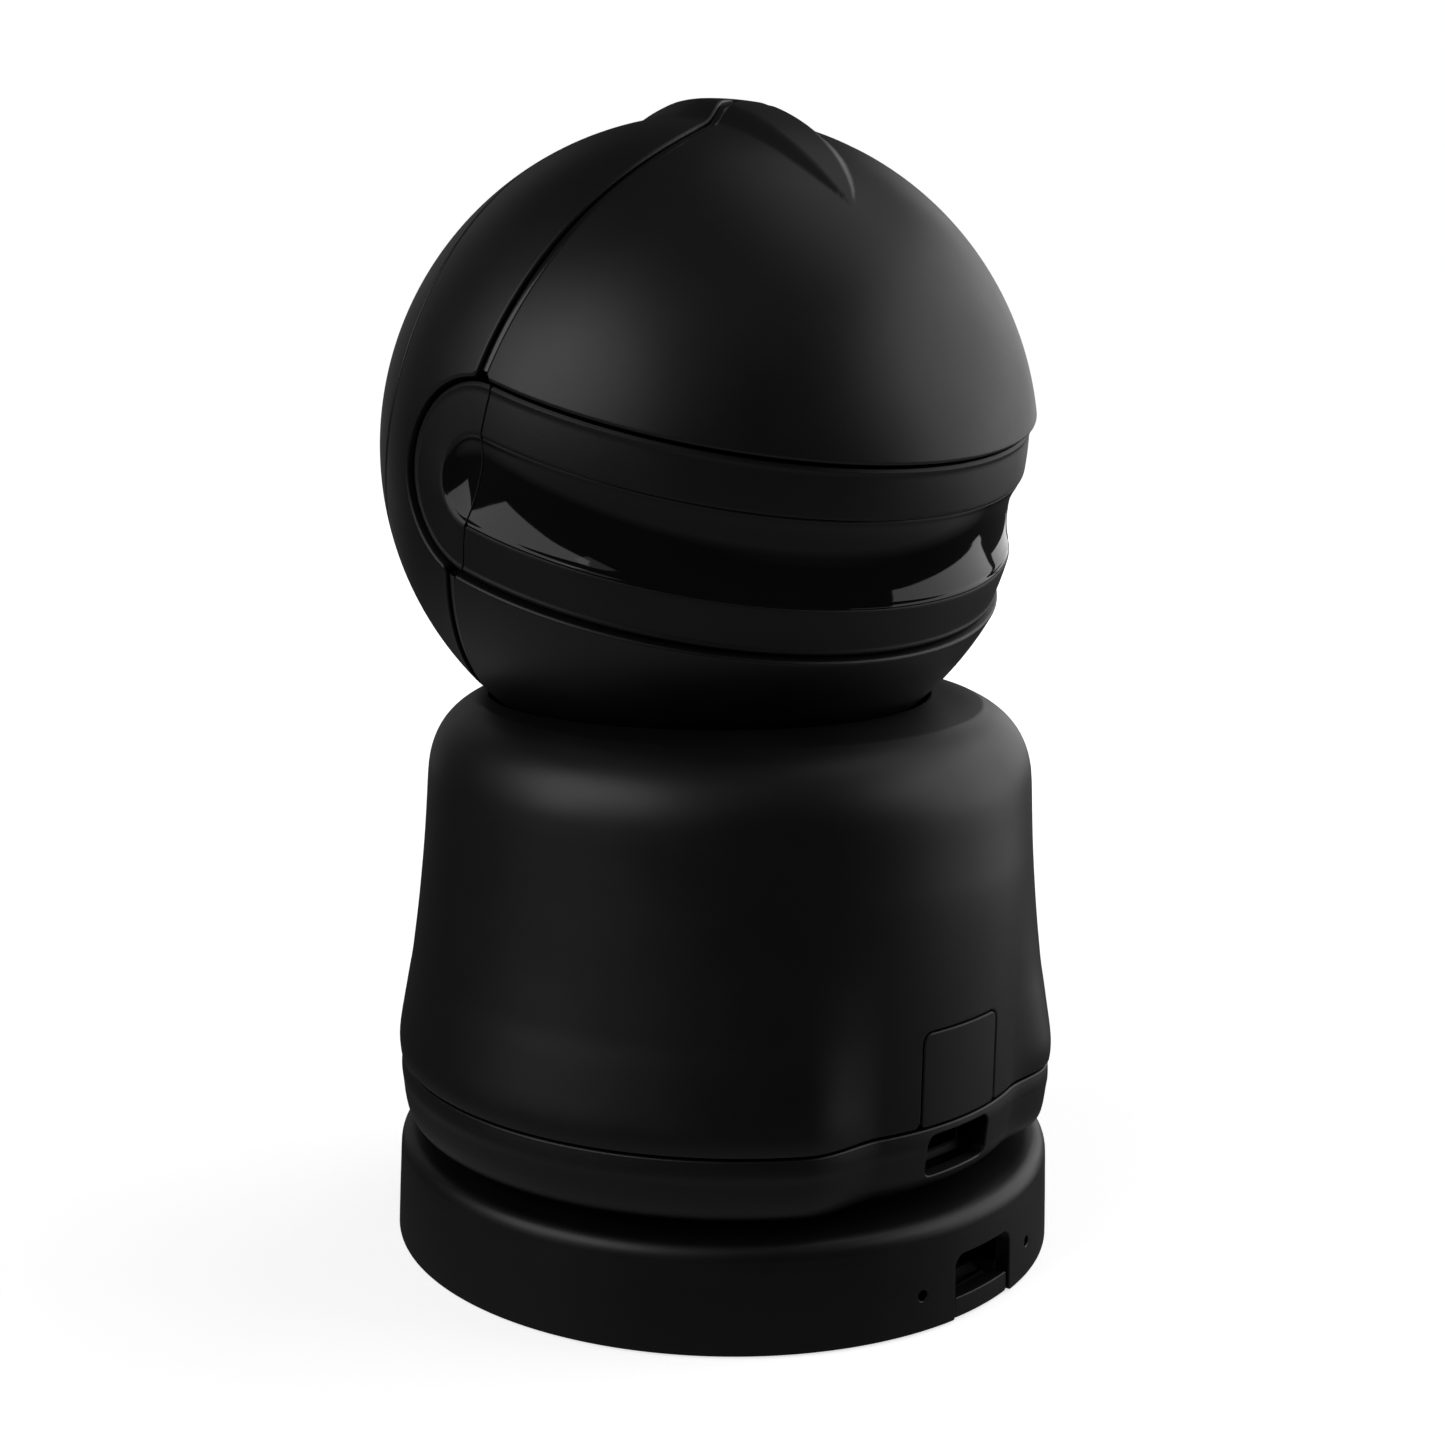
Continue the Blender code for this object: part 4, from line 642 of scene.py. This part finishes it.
def strip(name, node, x, top):
    """A glossy strip in the stepped groove, swept along the seam."""
    p = seam_points(x, top)
    p /= np.linalg.norm(p, axis=1)[:, None]
    along = np.gradient(p, axis=0)
    along /= np.linalg.norm(along, axis=1)[:, None]
    across = np.cross(p, along)
    rise = crest(p)
    places, faces = [], []
    for lateral, height in STRIP_SECTION:
        middle = p + across * (lateral / R)
        middle /= np.linalg.norm(middle, axis=1)[:, None]
        places.append(middle * (R + rise + height)[:, None])
    count, rows = len(x), len(STRIP_SECTION)
    places = np.vstack(places)
    for r in range(rows):
        s = (r + 1) % rows
        for c in range(count - 1):
            faces.append([r * count + c, r * count + c + 1, s * count + c + 1, s * count + c])
    faces.append([r * count for r in range(rows)])
    faces.append([r * count + count - 1 for r in reversed(range(rows))])
    obj = make_mesh(name, places, faces, None, HEAD, BALL_CENTRE, [STRIP])
    fix_normals(obj)
    bevel = obj.modifiers.new("Edges", "BEVEL")
    bevel.width = 0.08 * MM
    bevel.segments = 2
    bevel.limit_method = "ANGLE"
    bevel.angle_limit = SHARP_ANGLE
    bevel.harden_normals = True
    return piece(obj, "head", node)


def fix_normals(obj):
    """Turns every face outward and marks the sharp edges."""
    bm = bmesh.new()
    bm.from_mesh(obj.data)
    bmesh.ops.recalc_face_normals(bm, faces=bm.faces)
    bm.to_mesh(obj.data)
    bm.free()
    obj.data.set_sharp_from_angle(angle=SHARP_ANGLE)


def strip_reach(top):
    """X where the strip ends, short of the visor's opening."""
    x = np.linspace(0.5, 0.98, 400)
    clear = stadium(seam_points(x, top), VISOR_CUT + STRIP_CLEARANCE) > 0
    return x[clear].max()


top_line = np.sin(np.linspace(-1, 1, 161) * np.arcsin(strip_reach(1.0)))
strip("Seam_strip_top", "seam_strip_top", top_line, 1.0)
low_line = np.linspace(LOW_STRIP_X, strip_reach(-1.0), 60)
strip("Seam_strip_left", "seam_strip_left", -low_line, -1.0)
strip("Seam_strip_right", "seam_strip_right", low_line, -1.0)


# ---------------------------------------------------------------- visor


OUTER_INSET, UPPER_LIP_INSET, LOWER_LIP_INSET = 1.05, 1.85, 1.45  # of the matte border's two edges
LIP_BLEND = 4  # the lip's two insets blend over this far above and below the visor's middle
BEAD_RISE, BEAD_WIDTH, BEAD_IN = 0.22, 0.34, 0.55  # the raised bead, and how far it is from the outer edge
TROUGH_DEPTH, TROUGH_POWER = 1.75, 2.4
TURN_IN, TURN_WIDTH, TURN_BLEND = 0.22, 0.5, 0.6  # where the lip turns in to the window
PART_GAP_HALF = 0.09  # half the parting line before each round end
FRAME_GAP, WINDOW_GAP = 0.02, 0.05  # from the lip to the frame and to the window
RING_CORNER, PART_CORNER = 0.5, 0.3


def visor_inset(p):
    """How far the visor lies inside the ball: a raised bead, a matte border and a concave trough."""
    w = stadium(p, WINDOW_HALF)  # from the lip, outward
    up = smoothstep(-LIP_BLEND, LIP_BLEND, p[:, 2] * R - VISOR_MIDDLE)
    edge = VISOR_HALF - WINDOW_HALF
    lip = up * UPPER_LIP_INSET + (1 - up) * LOWER_LIP_INSET
    border = lip + (OUTER_INSET - lip) * np.clip(w / edge, 0, 1.2)
    bead = -BEAD_RISE * np.exp(-(((w - (edge - BEAD_IN)) / BEAD_WIDTH) ** 2))
    fall = np.clip(-w / WINDOW_HALF, 0, 1)
    depth = TROUGH_DEPTH * (1 - (1 - fall) ** TROUGH_POWER)
    turn_in = TURN_IN * np.exp(-((w / TURN_WIDTH) ** 2))
    inside = smoothstep(TURN_BLEND, -TURN_BLEND, w)
    return border + bead + depth + turn_in * inside


def visor_surface(p):
    return p * (R - visor_inset(p))[:, None]


def part_line(p):
    """Distance past the parting line before the visor's round end."""
    return (azimuth(p) - SIDE) * R * np.sqrt(np.clip(1 - p[:, 2] ** 2, 0.2, 1))


def frame_field(p):
    within = capped(-stadium(p, VISOR_HALF))
    ring = round_min(within, capped(stadium(p, WINDOW_HALF) - FRAME_GAP), RING_CORNER)
    return round_min(ring, capped(-part_line(p)) - PART_GAP_HALF, PART_CORNER)


def window_field(p):
    within = capped(-stadium(p, WINDOW_HALF) - WINDOW_GAP)
    return round_min(within, capped(-part_line(p)) - PART_GAP_HALF, PART_CORNER)


def end_field(side):
    def field(p):
        within = capped(-stadium(p, VISOR_HALF))
        whole = round_min(within, capped(part_line(p)) - PART_GAP_HALF, PART_CORNER)
        return np.where(p[:, 0] * side > 0, whole, OUTSIDE)

    return field


def in_trough(p):
    """1 for a face in the glossy trough and 0 for one on the matte border."""
    return (stadium(p, WINDOW_HALF) < 0).astype(int)


class Wrap:
    """Parameters are (length round the ball, height, 0) in millimetres."""

    def __init__(self, *patches):
        points, faces, start = [], [], 0
        for a, v in patches:
            points.append(np.column_stack([a.ravel(), v.ravel(), np.zeros(a.size)]))
            faces.append(grid_quads(*a.shape) + start)
            start += a.size
        self.points, self.triangles = weld(np.vstack(points), triangles_of(np.vstack(faces)))

    def tidy(self, p):
        return p

    def steps(self, p, size):
        a, b = np.zeros_like(p), np.zeros_like(p)
        a[:, 0] = size
        b[:, 1] = size
        return a, b


def on_ball(p):
    """Directions to the points of a Wrap grid."""
    angle, height = p[:, 0] / R, p[:, 1] / R
    flat = np.sqrt(1 - height**2)
    return np.column_stack([flat * np.sin(angle), -flat * np.cos(angle), height])


def wrapped(function):
    """A function of directions, as one of a Wrap grid's parameters."""
    return lambda p: function(on_ball(p))


# Rows over the matte border, out from the lip, and over the trough, up from its middle
LIP_ROWS = np.concatenate([
    np.linspace(-0.7, 0.9, 11), np.linspace(1.2, 5.9, 12), np.linspace(6.05, 7.4, 18),
])
LONG = np.linspace(-SIDE * R - 0.6, SIDE * R + 0.6, 250)
UPPER = np.meshgrid(LONG, VISOR_MIDDLE + WINDOW_HALF + LIP_ROWS, indexing="ij")
LOWER = np.meshgrid(LONG, VISOR_MIDDLE - WINDOW_HALF - LIP_ROWS[::-1], indexing="ij")
BORDERS = Wrap(UPPER, LOWER)
TROUGH_ROWS = np.concatenate([
    np.linspace(-6.8, -5.4, 9), np.linspace(-5.1, 5.1, 26), np.linspace(5.4, 6.8, 9),
])
TROUGH = Wrap(np.meshgrid(LONG, VISOR_MIDDLE + TROUGH_ROWS, indexing="ij"))


def fan(side):
    """A grid round the centre of one round end."""
    out = np.concatenate([np.linspace(0, 5.4, 12), WINDOW_HALF + LIP_ROWS])
    turn = np.linspace(-1.75, 1.75, 90) + (0 if side > 0 else pi)
    out, turn = np.meshgrid(out, turn, indexing="ij")
    return Wrap((side * SIDE * R + out * np.cos(turn), VISOR_MIDDLE + out * np.sin(turn)))


wrapped_visor = wrapped(visor_surface)
piece(shell("Visor_frame", BORDERS, wrapped_visor, wrapped(frame_field), edge=0.16, wall=1.9, turn=HEAD,
            shift=BALL_CENTRE, materials=[VISOR]), "head", "visor_frame")
piece(shell("Visor_window", TROUGH, wrapped_visor, wrapped(window_field), edge=0.06, wall=1.4, turn=HEAD,
            shift=BALL_CENTRE, materials=[WINDOW], bend=3), "head", "visor_window")
for side, word in ((-1, "left"), (1, "right")):
    piece(shell(f"Visor_end_{word}", fan(side), wrapped_visor, wrapped(end_field(side)), edge=0.16, wall=1.5,
                turn=HEAD, shift=BALL_CENTRE, materials=[VISOR, WINDOW], share=wrapped(in_trough)), "head",
          f"visor_end_{word}")


# ---------------------------------------------------------------- pedestal

RECESS = 44.65  # radius of the recess on the connector side
RECESS_FULL, RECESS_END, RECESS_SOFT = radians(18.5), radians(34), 0.35
# Radius and height of the housing's outside
HOUSING_LINE, HOUSING = spline([
    (48.25, 27.0), (48.55, 28.6), (48.62, 30.2), (48.42, 32.0), (48.08, 34.0), (47.66, 36.4), (47.17, 39.2),
    (46.65, 42.0), (46.25, 45.0), (45.87, 48.0), (45.53, 51.0), (45.23, 54.0), (44.95, 57.0), (44.70, 60.0),
    (44.5, 63.0), (44.32, 66.0), (44.16, 69.0), (43.9, 71.6), (43.35, 73.7), (42.35, 75.8), (40.9, 77.6),
    (39.0, 79.1), (36.8, 80.2),
], 900, 30)
BODY_TOP = HOUSING_LINE[-1]
LIP_HEIGHT, LIP_DROP = 81.1, 1.2  # top of the socket's lip at the front, and how much lower it is behind
SOCKET_GAP = 0.45
CROWN_WIDTH, CROWN_LENGTH = 2.5, 5.0  # across the top, and as a length of profile


def recess(angle):
    return 1 - smoothstep(RECESS_FULL, RECESS_END, np.abs(angle))


def from_front(p):
    """Angle from -Y towards +X."""
    return np.arctan2(p[:, 0], -p[:, 1])


def pressed(radius, angle):
    """The radius, held near the recess on the connector side."""
    over = np.maximum(radius - RECESS, 0)
    soft = over * over / (over + RECESS_SOFT)
    return radius - soft * recess(angle)


UNDER_CROWN = HOUSING[:, 1] > 72  # the part of the profile that the crown may start from


def housing_surface(p):
    """The outside of the housing, with a soft crown up to the round socket, which is behind the middle."""
    v, back = p[:, 2], p[:, 1]
    lip_z = LIP_HEIGHT - LIP_DROP * (0.5 + 0.5 * back) ** 2
    lip = R + SOCKET_GAP
    rim = np.sqrt(lip * lip - (BALL_CENTRE[2] - lip_z) ** 2)
    c = back * BALL_CENTRE[1]
    rim_r = c + np.sqrt(np.maximum(c * c - BALL_CENTRE[1] ** 2 + rim * rim, 0))
    start_r = np.maximum(rim_r + CROWN_WIDTH, HOUSING[-1, 0])
    start = np.interp(-start_r, -HOUSING[UNDER_CROWN, 0], HOUSING_LINE[UNDER_CROWN])
    below = np.minimum(v, start)
    r = np.interp(below, HOUSING_LINE, HOUSING[:, 0])
    z = np.interp(below, HOUSING_LINE, HOUSING[:, 1])
    r = pressed(r, from_front(p))
    s = np.clip((v - start) / (BODY_TOP + CROWN_LENGTH - start), 0, 1.4)
    r = r + (rim_r - r) * s
    z = z + (lip_z - z) * (1 - (1 - np.minimum(s, 1)) ** 2)
    return np.column_stack([p[:, 0] * r, p[:, 1] * r, z])


def front_rect(q, half, high, corner, low=None):
    """Distance into a rounded rectangle on the connector side, with no lower edge if low isn't given."""
    x, z = np.abs(q[:, 0]), q[:, 2]
    inside = round_min(half - x, high - z, corner)
    if low is not None:
        inside = round_min(inside, z - low, corner)
    return np.where(q[:, 1] < 0, inside, FAR_OUTSIDE)


def even_columns(count):
    """Angles round the wall, from the connector side."""
    return np.linspace(-pi, pi, count + 1)[:-1] - pi / 2


def columns(extra):
    """Angles round the wall, with extra ones near the connector side."""
    base = np.linspace(-pi, pi, 241)[:-1]
    near = np.linspace(-radians(36), radians(36), extra)
    keep = base[np.abs(base) > radians(36.5)]
    return np.sort(np.concatenate([keep, near])) - pi / 2


PEDESTAL_RADIUS, BASE_RADIUS = 46.0, 48.0  # the grids' steps round the wall are measured at these
WALL = Tube(columns(150), np.concatenate([
    np.linspace(-0.6, 16, 24), np.linspace(16.7, 50, 40), np.linspace(50.6, BODY_TOP + 6.0, 26),
]), PEDESTAL_RADIUS)
DOOR_HALF, DOOR_TOP, DOOR_CORNER = 8.1, 41.3, 1.6
DOOR_GAP, DOOR_TOP_GAP, DOOR_CORNER_LESS, DOOR_FOOT_OVER = 0.17, 0.2, 0.15, 0.05
RING_SEAM, RING_SEAM_HALF = 27.6, 0.17
SEAM_LOW = RING_SEAM + RING_SEAM_HALF  # the housing's foot


def housing_field(p):
    q = housing_surface(p)
    foot = q[:, 2] - SEAM_LOW
    lip = BODY_TOP + CROWN_LENGTH - p[:, 2]
    whole = np.minimum(capped(foot), capped(lip))
    door = front_rect(q, DOOR_HALF, DOOR_TOP, DOOR_CORNER)
    return round_min(whole, capped(-door), 0.45)


piece(shell("Housing", WALL, housing_surface, housing_field, edge=0.35, wall=2.0, materials=[SHELL]),
      "pedestal", "housing")

DOOR_GRID = Tube(even_columns(720), np.linspace(-0.6, 18, 40), PEDESTAL_RADIUS)


def door_field(p):
    q = housing_surface(p)
    inside = front_rect(q, DOOR_HALF - DOOR_GAP, DOOR_TOP - DOOR_TOP_GAP, DOOR_CORNER - DOOR_CORNER_LESS)
    return round_min(capped(inside), capped(q[:, 2] - SEAM_LOW + DOOR_FOOT_OVER), 0.35)


piece(shell("Service_door", DOOR_GRID, housing_surface, door_field, edge=0.28, wall=1.5,
            materials=[DOOR]), "service_door", "service_door")


# Radius and height of the lower ring, from its floor out and up
RING_LINE, RING = spline([
    (22.0, 18.2), (30.0, 18.2), (40.0, 18.2), (45.3, 18.2), (46.35, 18.35), (46.95, 18.85), (47.45, 19.7),
    (47.80, 21.0), (48.0, 22.4), (48.15, 23.8), (48.33, 25.2), (48.30, 26.4), (48.22, 27.2), (48.2, 28.2),
], 900, 5)


RING_RADIUS = 48.2
RING_BLEND = (34, 44)  # radii of the ring's floor over which the recess starts
RING_TURN = (19, 27.5)  # lengths of profile over which the wall's inward direction turns
INNER_EDGE = 1.0  # the grids reach this far past the inner edges of the floor and the base
OPENING_HALF, OPENING_LOW, OPENING_HIGH, OPENING_CORNER = 6.7, 20.15, 26.35, 1.5
FLOOR_TOP = 19.0


def ring_surface(p):
    v = p[:, 2]
    r = np.interp(v, RING_LINE, RING[:, 0])
    z = np.interp(v, RING_LINE, RING[:, 1])
    inset = RING_RADIUS - pressed(np.full(len(p), RING_RADIUS), from_front(p))
    r = r - inset * smoothstep(*RING_BLEND, r)
    return np.column_stack([p[:, 0] * r, p[:, 1] * r, z])


RING_GRID = Tube(columns(220), np.concatenate([
    np.linspace(0, 20, 10), np.linspace(21, RING_LINE[-1], 64),
]), PEDESTAL_RADIUS)


def ring_field(p):
    q = ring_surface(p)
    top = RING_SEAM - RING_SEAM_HALF - q[:, 2]
    inner = p[:, 2] - INNER_EDGE
    whole = np.minimum(capped(top), capped(inner))
    hole = front_rect(q, OPENING_HALF, OPENING_HIGH, OPENING_CORNER, OPENING_LOW)
    hole = np.where(q[:, 2] > FLOOR_TOP, hole, FAR_OUTSIDE)
    return round_min(whole, capped(-hole), 0.4)


def to_axis(p):
    return np.column_stack([-p[:, 0], -p[:, 1], np.zeros(len(p))])


def turning(first, second, t):
    """Unit directions that turn from first to second as t goes from 0 to 1."""
    d = first * (1 - t) + second * t
    return d / np.linalg.norm(d, axis=1)[:, None]


def ring_inward(p):
    """Up from the ring's floor, and in from its wall."""
    t = smoothstep(*RING_TURN, p[:, 2])[:, None]
    up = np.tile([[0.0, 0.0, 1.0]], (len(p), 1))
    return turning(up, to_axis(p), t)


piece(shell("Lower_ring", RING_GRID, ring_surface, ring_field, edge=0.3, wall=2.0, inward=ring_inward,
            materials=[SHELL]), "pedestal", "lower_ring")


# ---------------------------------------------------------------- base

# Radius and height of the base, from its foot up and in
BASE_LINE, BASE = spline([
    (48.96, -0.2), (48.92, 1.5), (48.84, 4.0), (48.74, 7.0), (48.62, 10.0), (48.51, 12.6), (48.42, 13.7),
    (48.15, 14.5), (47.6, 15.15), (46.8, 15.5), (46.0, 15.6), (44.0, 15.6), (38.0, 15.6), (32.0, 15.6),
    (26.0, 15.6), (21.0, 15.6),
], 900, 5)


BASE_TURN = (10.5, 18.5)  # lengths of profile over which the wall's inward direction turns
BASE_FOOT = 0.5
WALL_ROWS = 13.0  # the wall's part of the profile, which holds the notch and the pin holes
NOTCH_HALF, NOTCH_TOP, NOTCH_CORNER = 6.45, 9.6, 1.8
PIN_RADIUS, PIN_ANGLE, PIN_REACH, PIN_HEIGHT = 0.78, radians(14.7), 48.8, 5.5
CLIP_INSET, CLIP_HALF, CLIP_TOP, CLIP_FOOT = 0.35, 6.2, 3.3, 0.35
CLIP_TOP_CORNER, CLIP_FOOT_CORNER = 0.35, 0.3


def base_surface(p):
    r = np.interp(p[:, 2], BASE_LINE, BASE[:, 0])
    z = np.interp(p[:, 2], BASE_LINE, BASE[:, 1])
    return np.column_stack([p[:, 0] * r, p[:, 1] * r, z])


def base_inward(p):
    """In from the base's wall, and down from its top."""
    t = smoothstep(*BASE_TURN, p[:, 2])[:, None]
    down = np.tile([[0.0, 0.0, -1.0]], (len(p), 1))
    return turning(to_axis(p), down, t)


BASE_GRID = Tube(columns(260), np.concatenate([
    np.linspace(-0.3, 19, 66), np.linspace(20, BASE_LINE[-1], 12),
]), BASE_RADIUS)


def base_field(p):
    q = base_surface(p)
    foot = p[:, 2] - BASE_FOOT
    inner = BASE_LINE[-1] - INNER_EDGE - p[:, 2]
    whole = np.minimum(capped(foot), capped(inner))
    on_wall = (p[:, 2] < WALL_ROWS) & (q[:, 1] < 0)
    x, z = np.abs(q[:, 0]), q[:, 2]
    notch = round_min(NOTCH_HALF - x, NOTCH_TOP - z, NOTCH_CORNER)
    notch = np.where(on_wall, notch, FAR_OUTSIDE)
    angle = np.abs(from_front(p))
    pin = PIN_RADIUS - np.hypot((angle - PIN_ANGLE) * PIN_REACH, z - PIN_HEIGHT)
    pin = np.where(on_wall, pin, FAR_OUTSIDE)
    whole = round_min(whole, capped(-notch), 0.4)
    return np.minimum(whole, capped(-pin))


piece(shell("Base_shell", BASE_GRID, base_surface, base_field, edge=0.22, wall=2.2, inward=base_inward,
            turn=TWIST, materials=[SHELL]), "base", "base_shell")


def clip_surface(p):
    """The base's wall, a little further in."""
    q = base_surface(p)
    r = np.hypot(q[:, 0], q[:, 1])
    q[:, :2] *= ((r - CLIP_INSET) / r)[:, None]
    return q


CLIP_GRID = Tube(even_columns(900), np.linspace(-0.3, 6, 22), BASE_RADIUS)


def clip_field(p):
    q = clip_surface(p)
    inside = round_min(CLIP_HALF - np.abs(q[:, 0]), CLIP_TOP - q[:, 2], CLIP_TOP_CORNER)
    inside = round_min(inside, q[:, 2] - CLIP_FOOT, CLIP_FOOT_CORNER)
    return np.where(q[:, 1] < 0, inside, OUTSIDE)


piece(shell("Cable_notch_clip", CLIP_GRID, clip_surface, clip_field, edge=0.2, wall=2.4, turn=TWIST,
            materials=[SHELL]), "base", "cable_notch_clip")


# ---------------------------------------------------------------- floor, lights and camera


FLOOR_RADIUS = 6.0
GLOW_SPAN, GLOW = (0.1, 0.6), (0.72, 1.0)  # the floor's glow grows over these distances from the middle
WHITE = (1, 1, 1, 1)


def add_glow(finish):
    """Light given off by the floor, so that it stays pale where the soft panels don't reach."""
    tree = finish.node_tree
    surface = tree.nodes["Principled BSDF"]
    surface.inputs["Emission Color"].default_value = WHITE
    place = tree.nodes.new("ShaderNodeTexCoord")
    from_middle = tree.nodes.new("ShaderNodeVectorMath")
    from_middle.operation = "LENGTH"
    tree.links.new(place.outputs["Object"], from_middle.inputs[0])
    glow = map_range(tree, from_middle.outputs["Value"], GLOW_SPAN, GLOW)
    tree.links.new(glow, surface.inputs["Emission Strength"])


floor_mesh = bpy.data.meshes.new("Floor")
bm = bmesh.new()
bmesh.ops.create_circle(bm, cap_ends=True, segments=96, radius=FLOOR_RADIUS)
bm.to_mesh(floor_mesh)
bm.free()
floor = bpy.data.objects.new("Floor", floor_mesh)
bpy.context.scene.collection.objects.link(floor)
pale = material("pale_floor", (0.93, 0.93, 0.93), 0.7, specular=0.2)
add_glow(pale)
floor_mesh.materials.append(pale)
floor.visible_glossy = floor.visible_diffuse = False

CAMERA_AZIMUTH = radians(-46.85)
CAMERA_DISTANCE, CAMERA_HEIGHT = 0.331, 0.1424
PITCH, YAW, ROLL = radians(11.31), radians(0.21), radians(0.97)
SENSOR_WIDTH, LENS = 36.0, 57.30103806228374
camera_data = bpy.data.cameras.new("Camera")
camera_data.sensor_width = SENSOR_WIDTH
camera_data.lens = LENS
camera_data.clip_start = 0.01
camera = bpy.data.objects.new("Camera", camera_data)
bpy.context.scene.collection.objects.link(camera)
to_camera = Vector((sin(CAMERA_AZIMUTH), -cos(CAMERA_AZIMUTH), 0))
camera.location = to_camera * CAMERA_DISTANCE + Vector((0, 0, CAMERA_HEIGHT))
look = Matrix.Rotation(YAW, 3, "Z") @ (-to_camera)
forward = Vector((look.x * cos(PITCH), look.y * cos(PITCH), -sin(PITCH)))
right = forward.cross(Vector((0, 0, 1))).normalized()
up = right.cross(forward)
rolled_right = right * cos(ROLL) + up * sin(ROLL)
rolled_up = -right * sin(ROLL) + up * cos(ROLL)
turned = Matrix((rolled_right, rolled_up, -forward)).transposed().to_4x4()
camera.matrix_world = Matrix.Translation(camera.location) @ turned
bpy.context.scene.camera = camera

to_right = Vector((cos(CAMERA_AZIMUTH), sin(CAMERA_AZIMUTH), 0))  # as the camera sees it


def softbox(name, across, height, power, wide, high, lean=0):
    """A panel that faces the object from these angles, in degrees to the right of the camera and up.

    It is 1 m away, wide and high are in metres, and lean turns it about its own axis.
    """
    data = bpy.data.lights.new(name, "AREA")
    data.shape = "RECTANGLE"
    data.size = wide
    data.size_y = high
    data.energy = power
    panel = bpy.data.objects.new(name, data)
    bpy.context.scene.collection.objects.link(panel)
    turn, rise = radians(across), radians(height)
    way = (to_camera * cos(turn) + to_right * sin(turn)) * cos(rise) + Vector((0, 0, sin(rise)))
    target = Vector((0, 0, 0.1))
    place = target + way
    panel.location = place
    panel.rotation_euler = (target - place).to_track_quat("-Z", "Y").to_euler()
    panel.rotation_euler.rotate_axis("Z", radians(lean))


softbox("Left_softbox", -60, 25, 3.6, 0.86, 0.74, 22)
softbox("Left_side_softbox", -31, 25, 0.3, 0.3, 0.5, 22)
softbox("Right_softbox", 106, 15, 4.9, 1.15, 1.0, -10)
softbox("Right_side_softbox", 70, 24, 0.4, 0.3, 0.42, -10)
softbox("Left_edge_softbox", -150, 10, 0.2, 0.5, 0.8)
softbox("Back_softbox", 120, 60, 0.8, 0.8, 0.6)
softbox("Front_softbox", -10, 48, 0.15, 0.8, 0.4)
softbox("Right_back_softbox", 150, 10, 1.0, 0.5, 0.6)
softbox("Top_softbox", 0, 86, 0.1, 0.8, 0.8)

# The world is white to the camera. Other rays see a dim light that is brighter below than above.
DIM_SPAN, DIM = (-0.56, -0.38), (0.21, 0.035)  # strengths over these heights of a ray's direction
world = bpy.data.worlds.new("Studio")
bpy.context.scene.world = world
world.use_nodes = True
tree = world.node_tree
dim = tree.nodes["Background"]
dim.inputs["Color"].default_value = WHITE
direction = tree.nodes.new("ShaderNodeTexCoord")
parts = tree.nodes.new("ShaderNodeSeparateXYZ")
tree.links.new(direction.outputs["Generated"], parts.inputs["Vector"])
tree.links.new(map_range(tree, parts.outputs["Z"], DIM_SPAN, DIM), dim.inputs["Strength"])
bright = tree.nodes.new("ShaderNodeBackground")
bright.inputs["Color"].default_value = WHITE
chooser = tree.nodes.new("ShaderNodeMixShader")
path = tree.nodes.new("ShaderNodeLightPath")
tree.links.new(path.outputs["Is Camera Ray"], chooser.inputs["Fac"])
tree.links.new(dim.outputs["Background"], chooser.inputs[1])
tree.links.new(bright.outputs["Background"], chooser.inputs[2])
tree.links.new(chooser.outputs["Shader"], tree.nodes["World Output"].inputs["Surface"])

bpy.context.scene.view_settings.view_transform = "Standard"
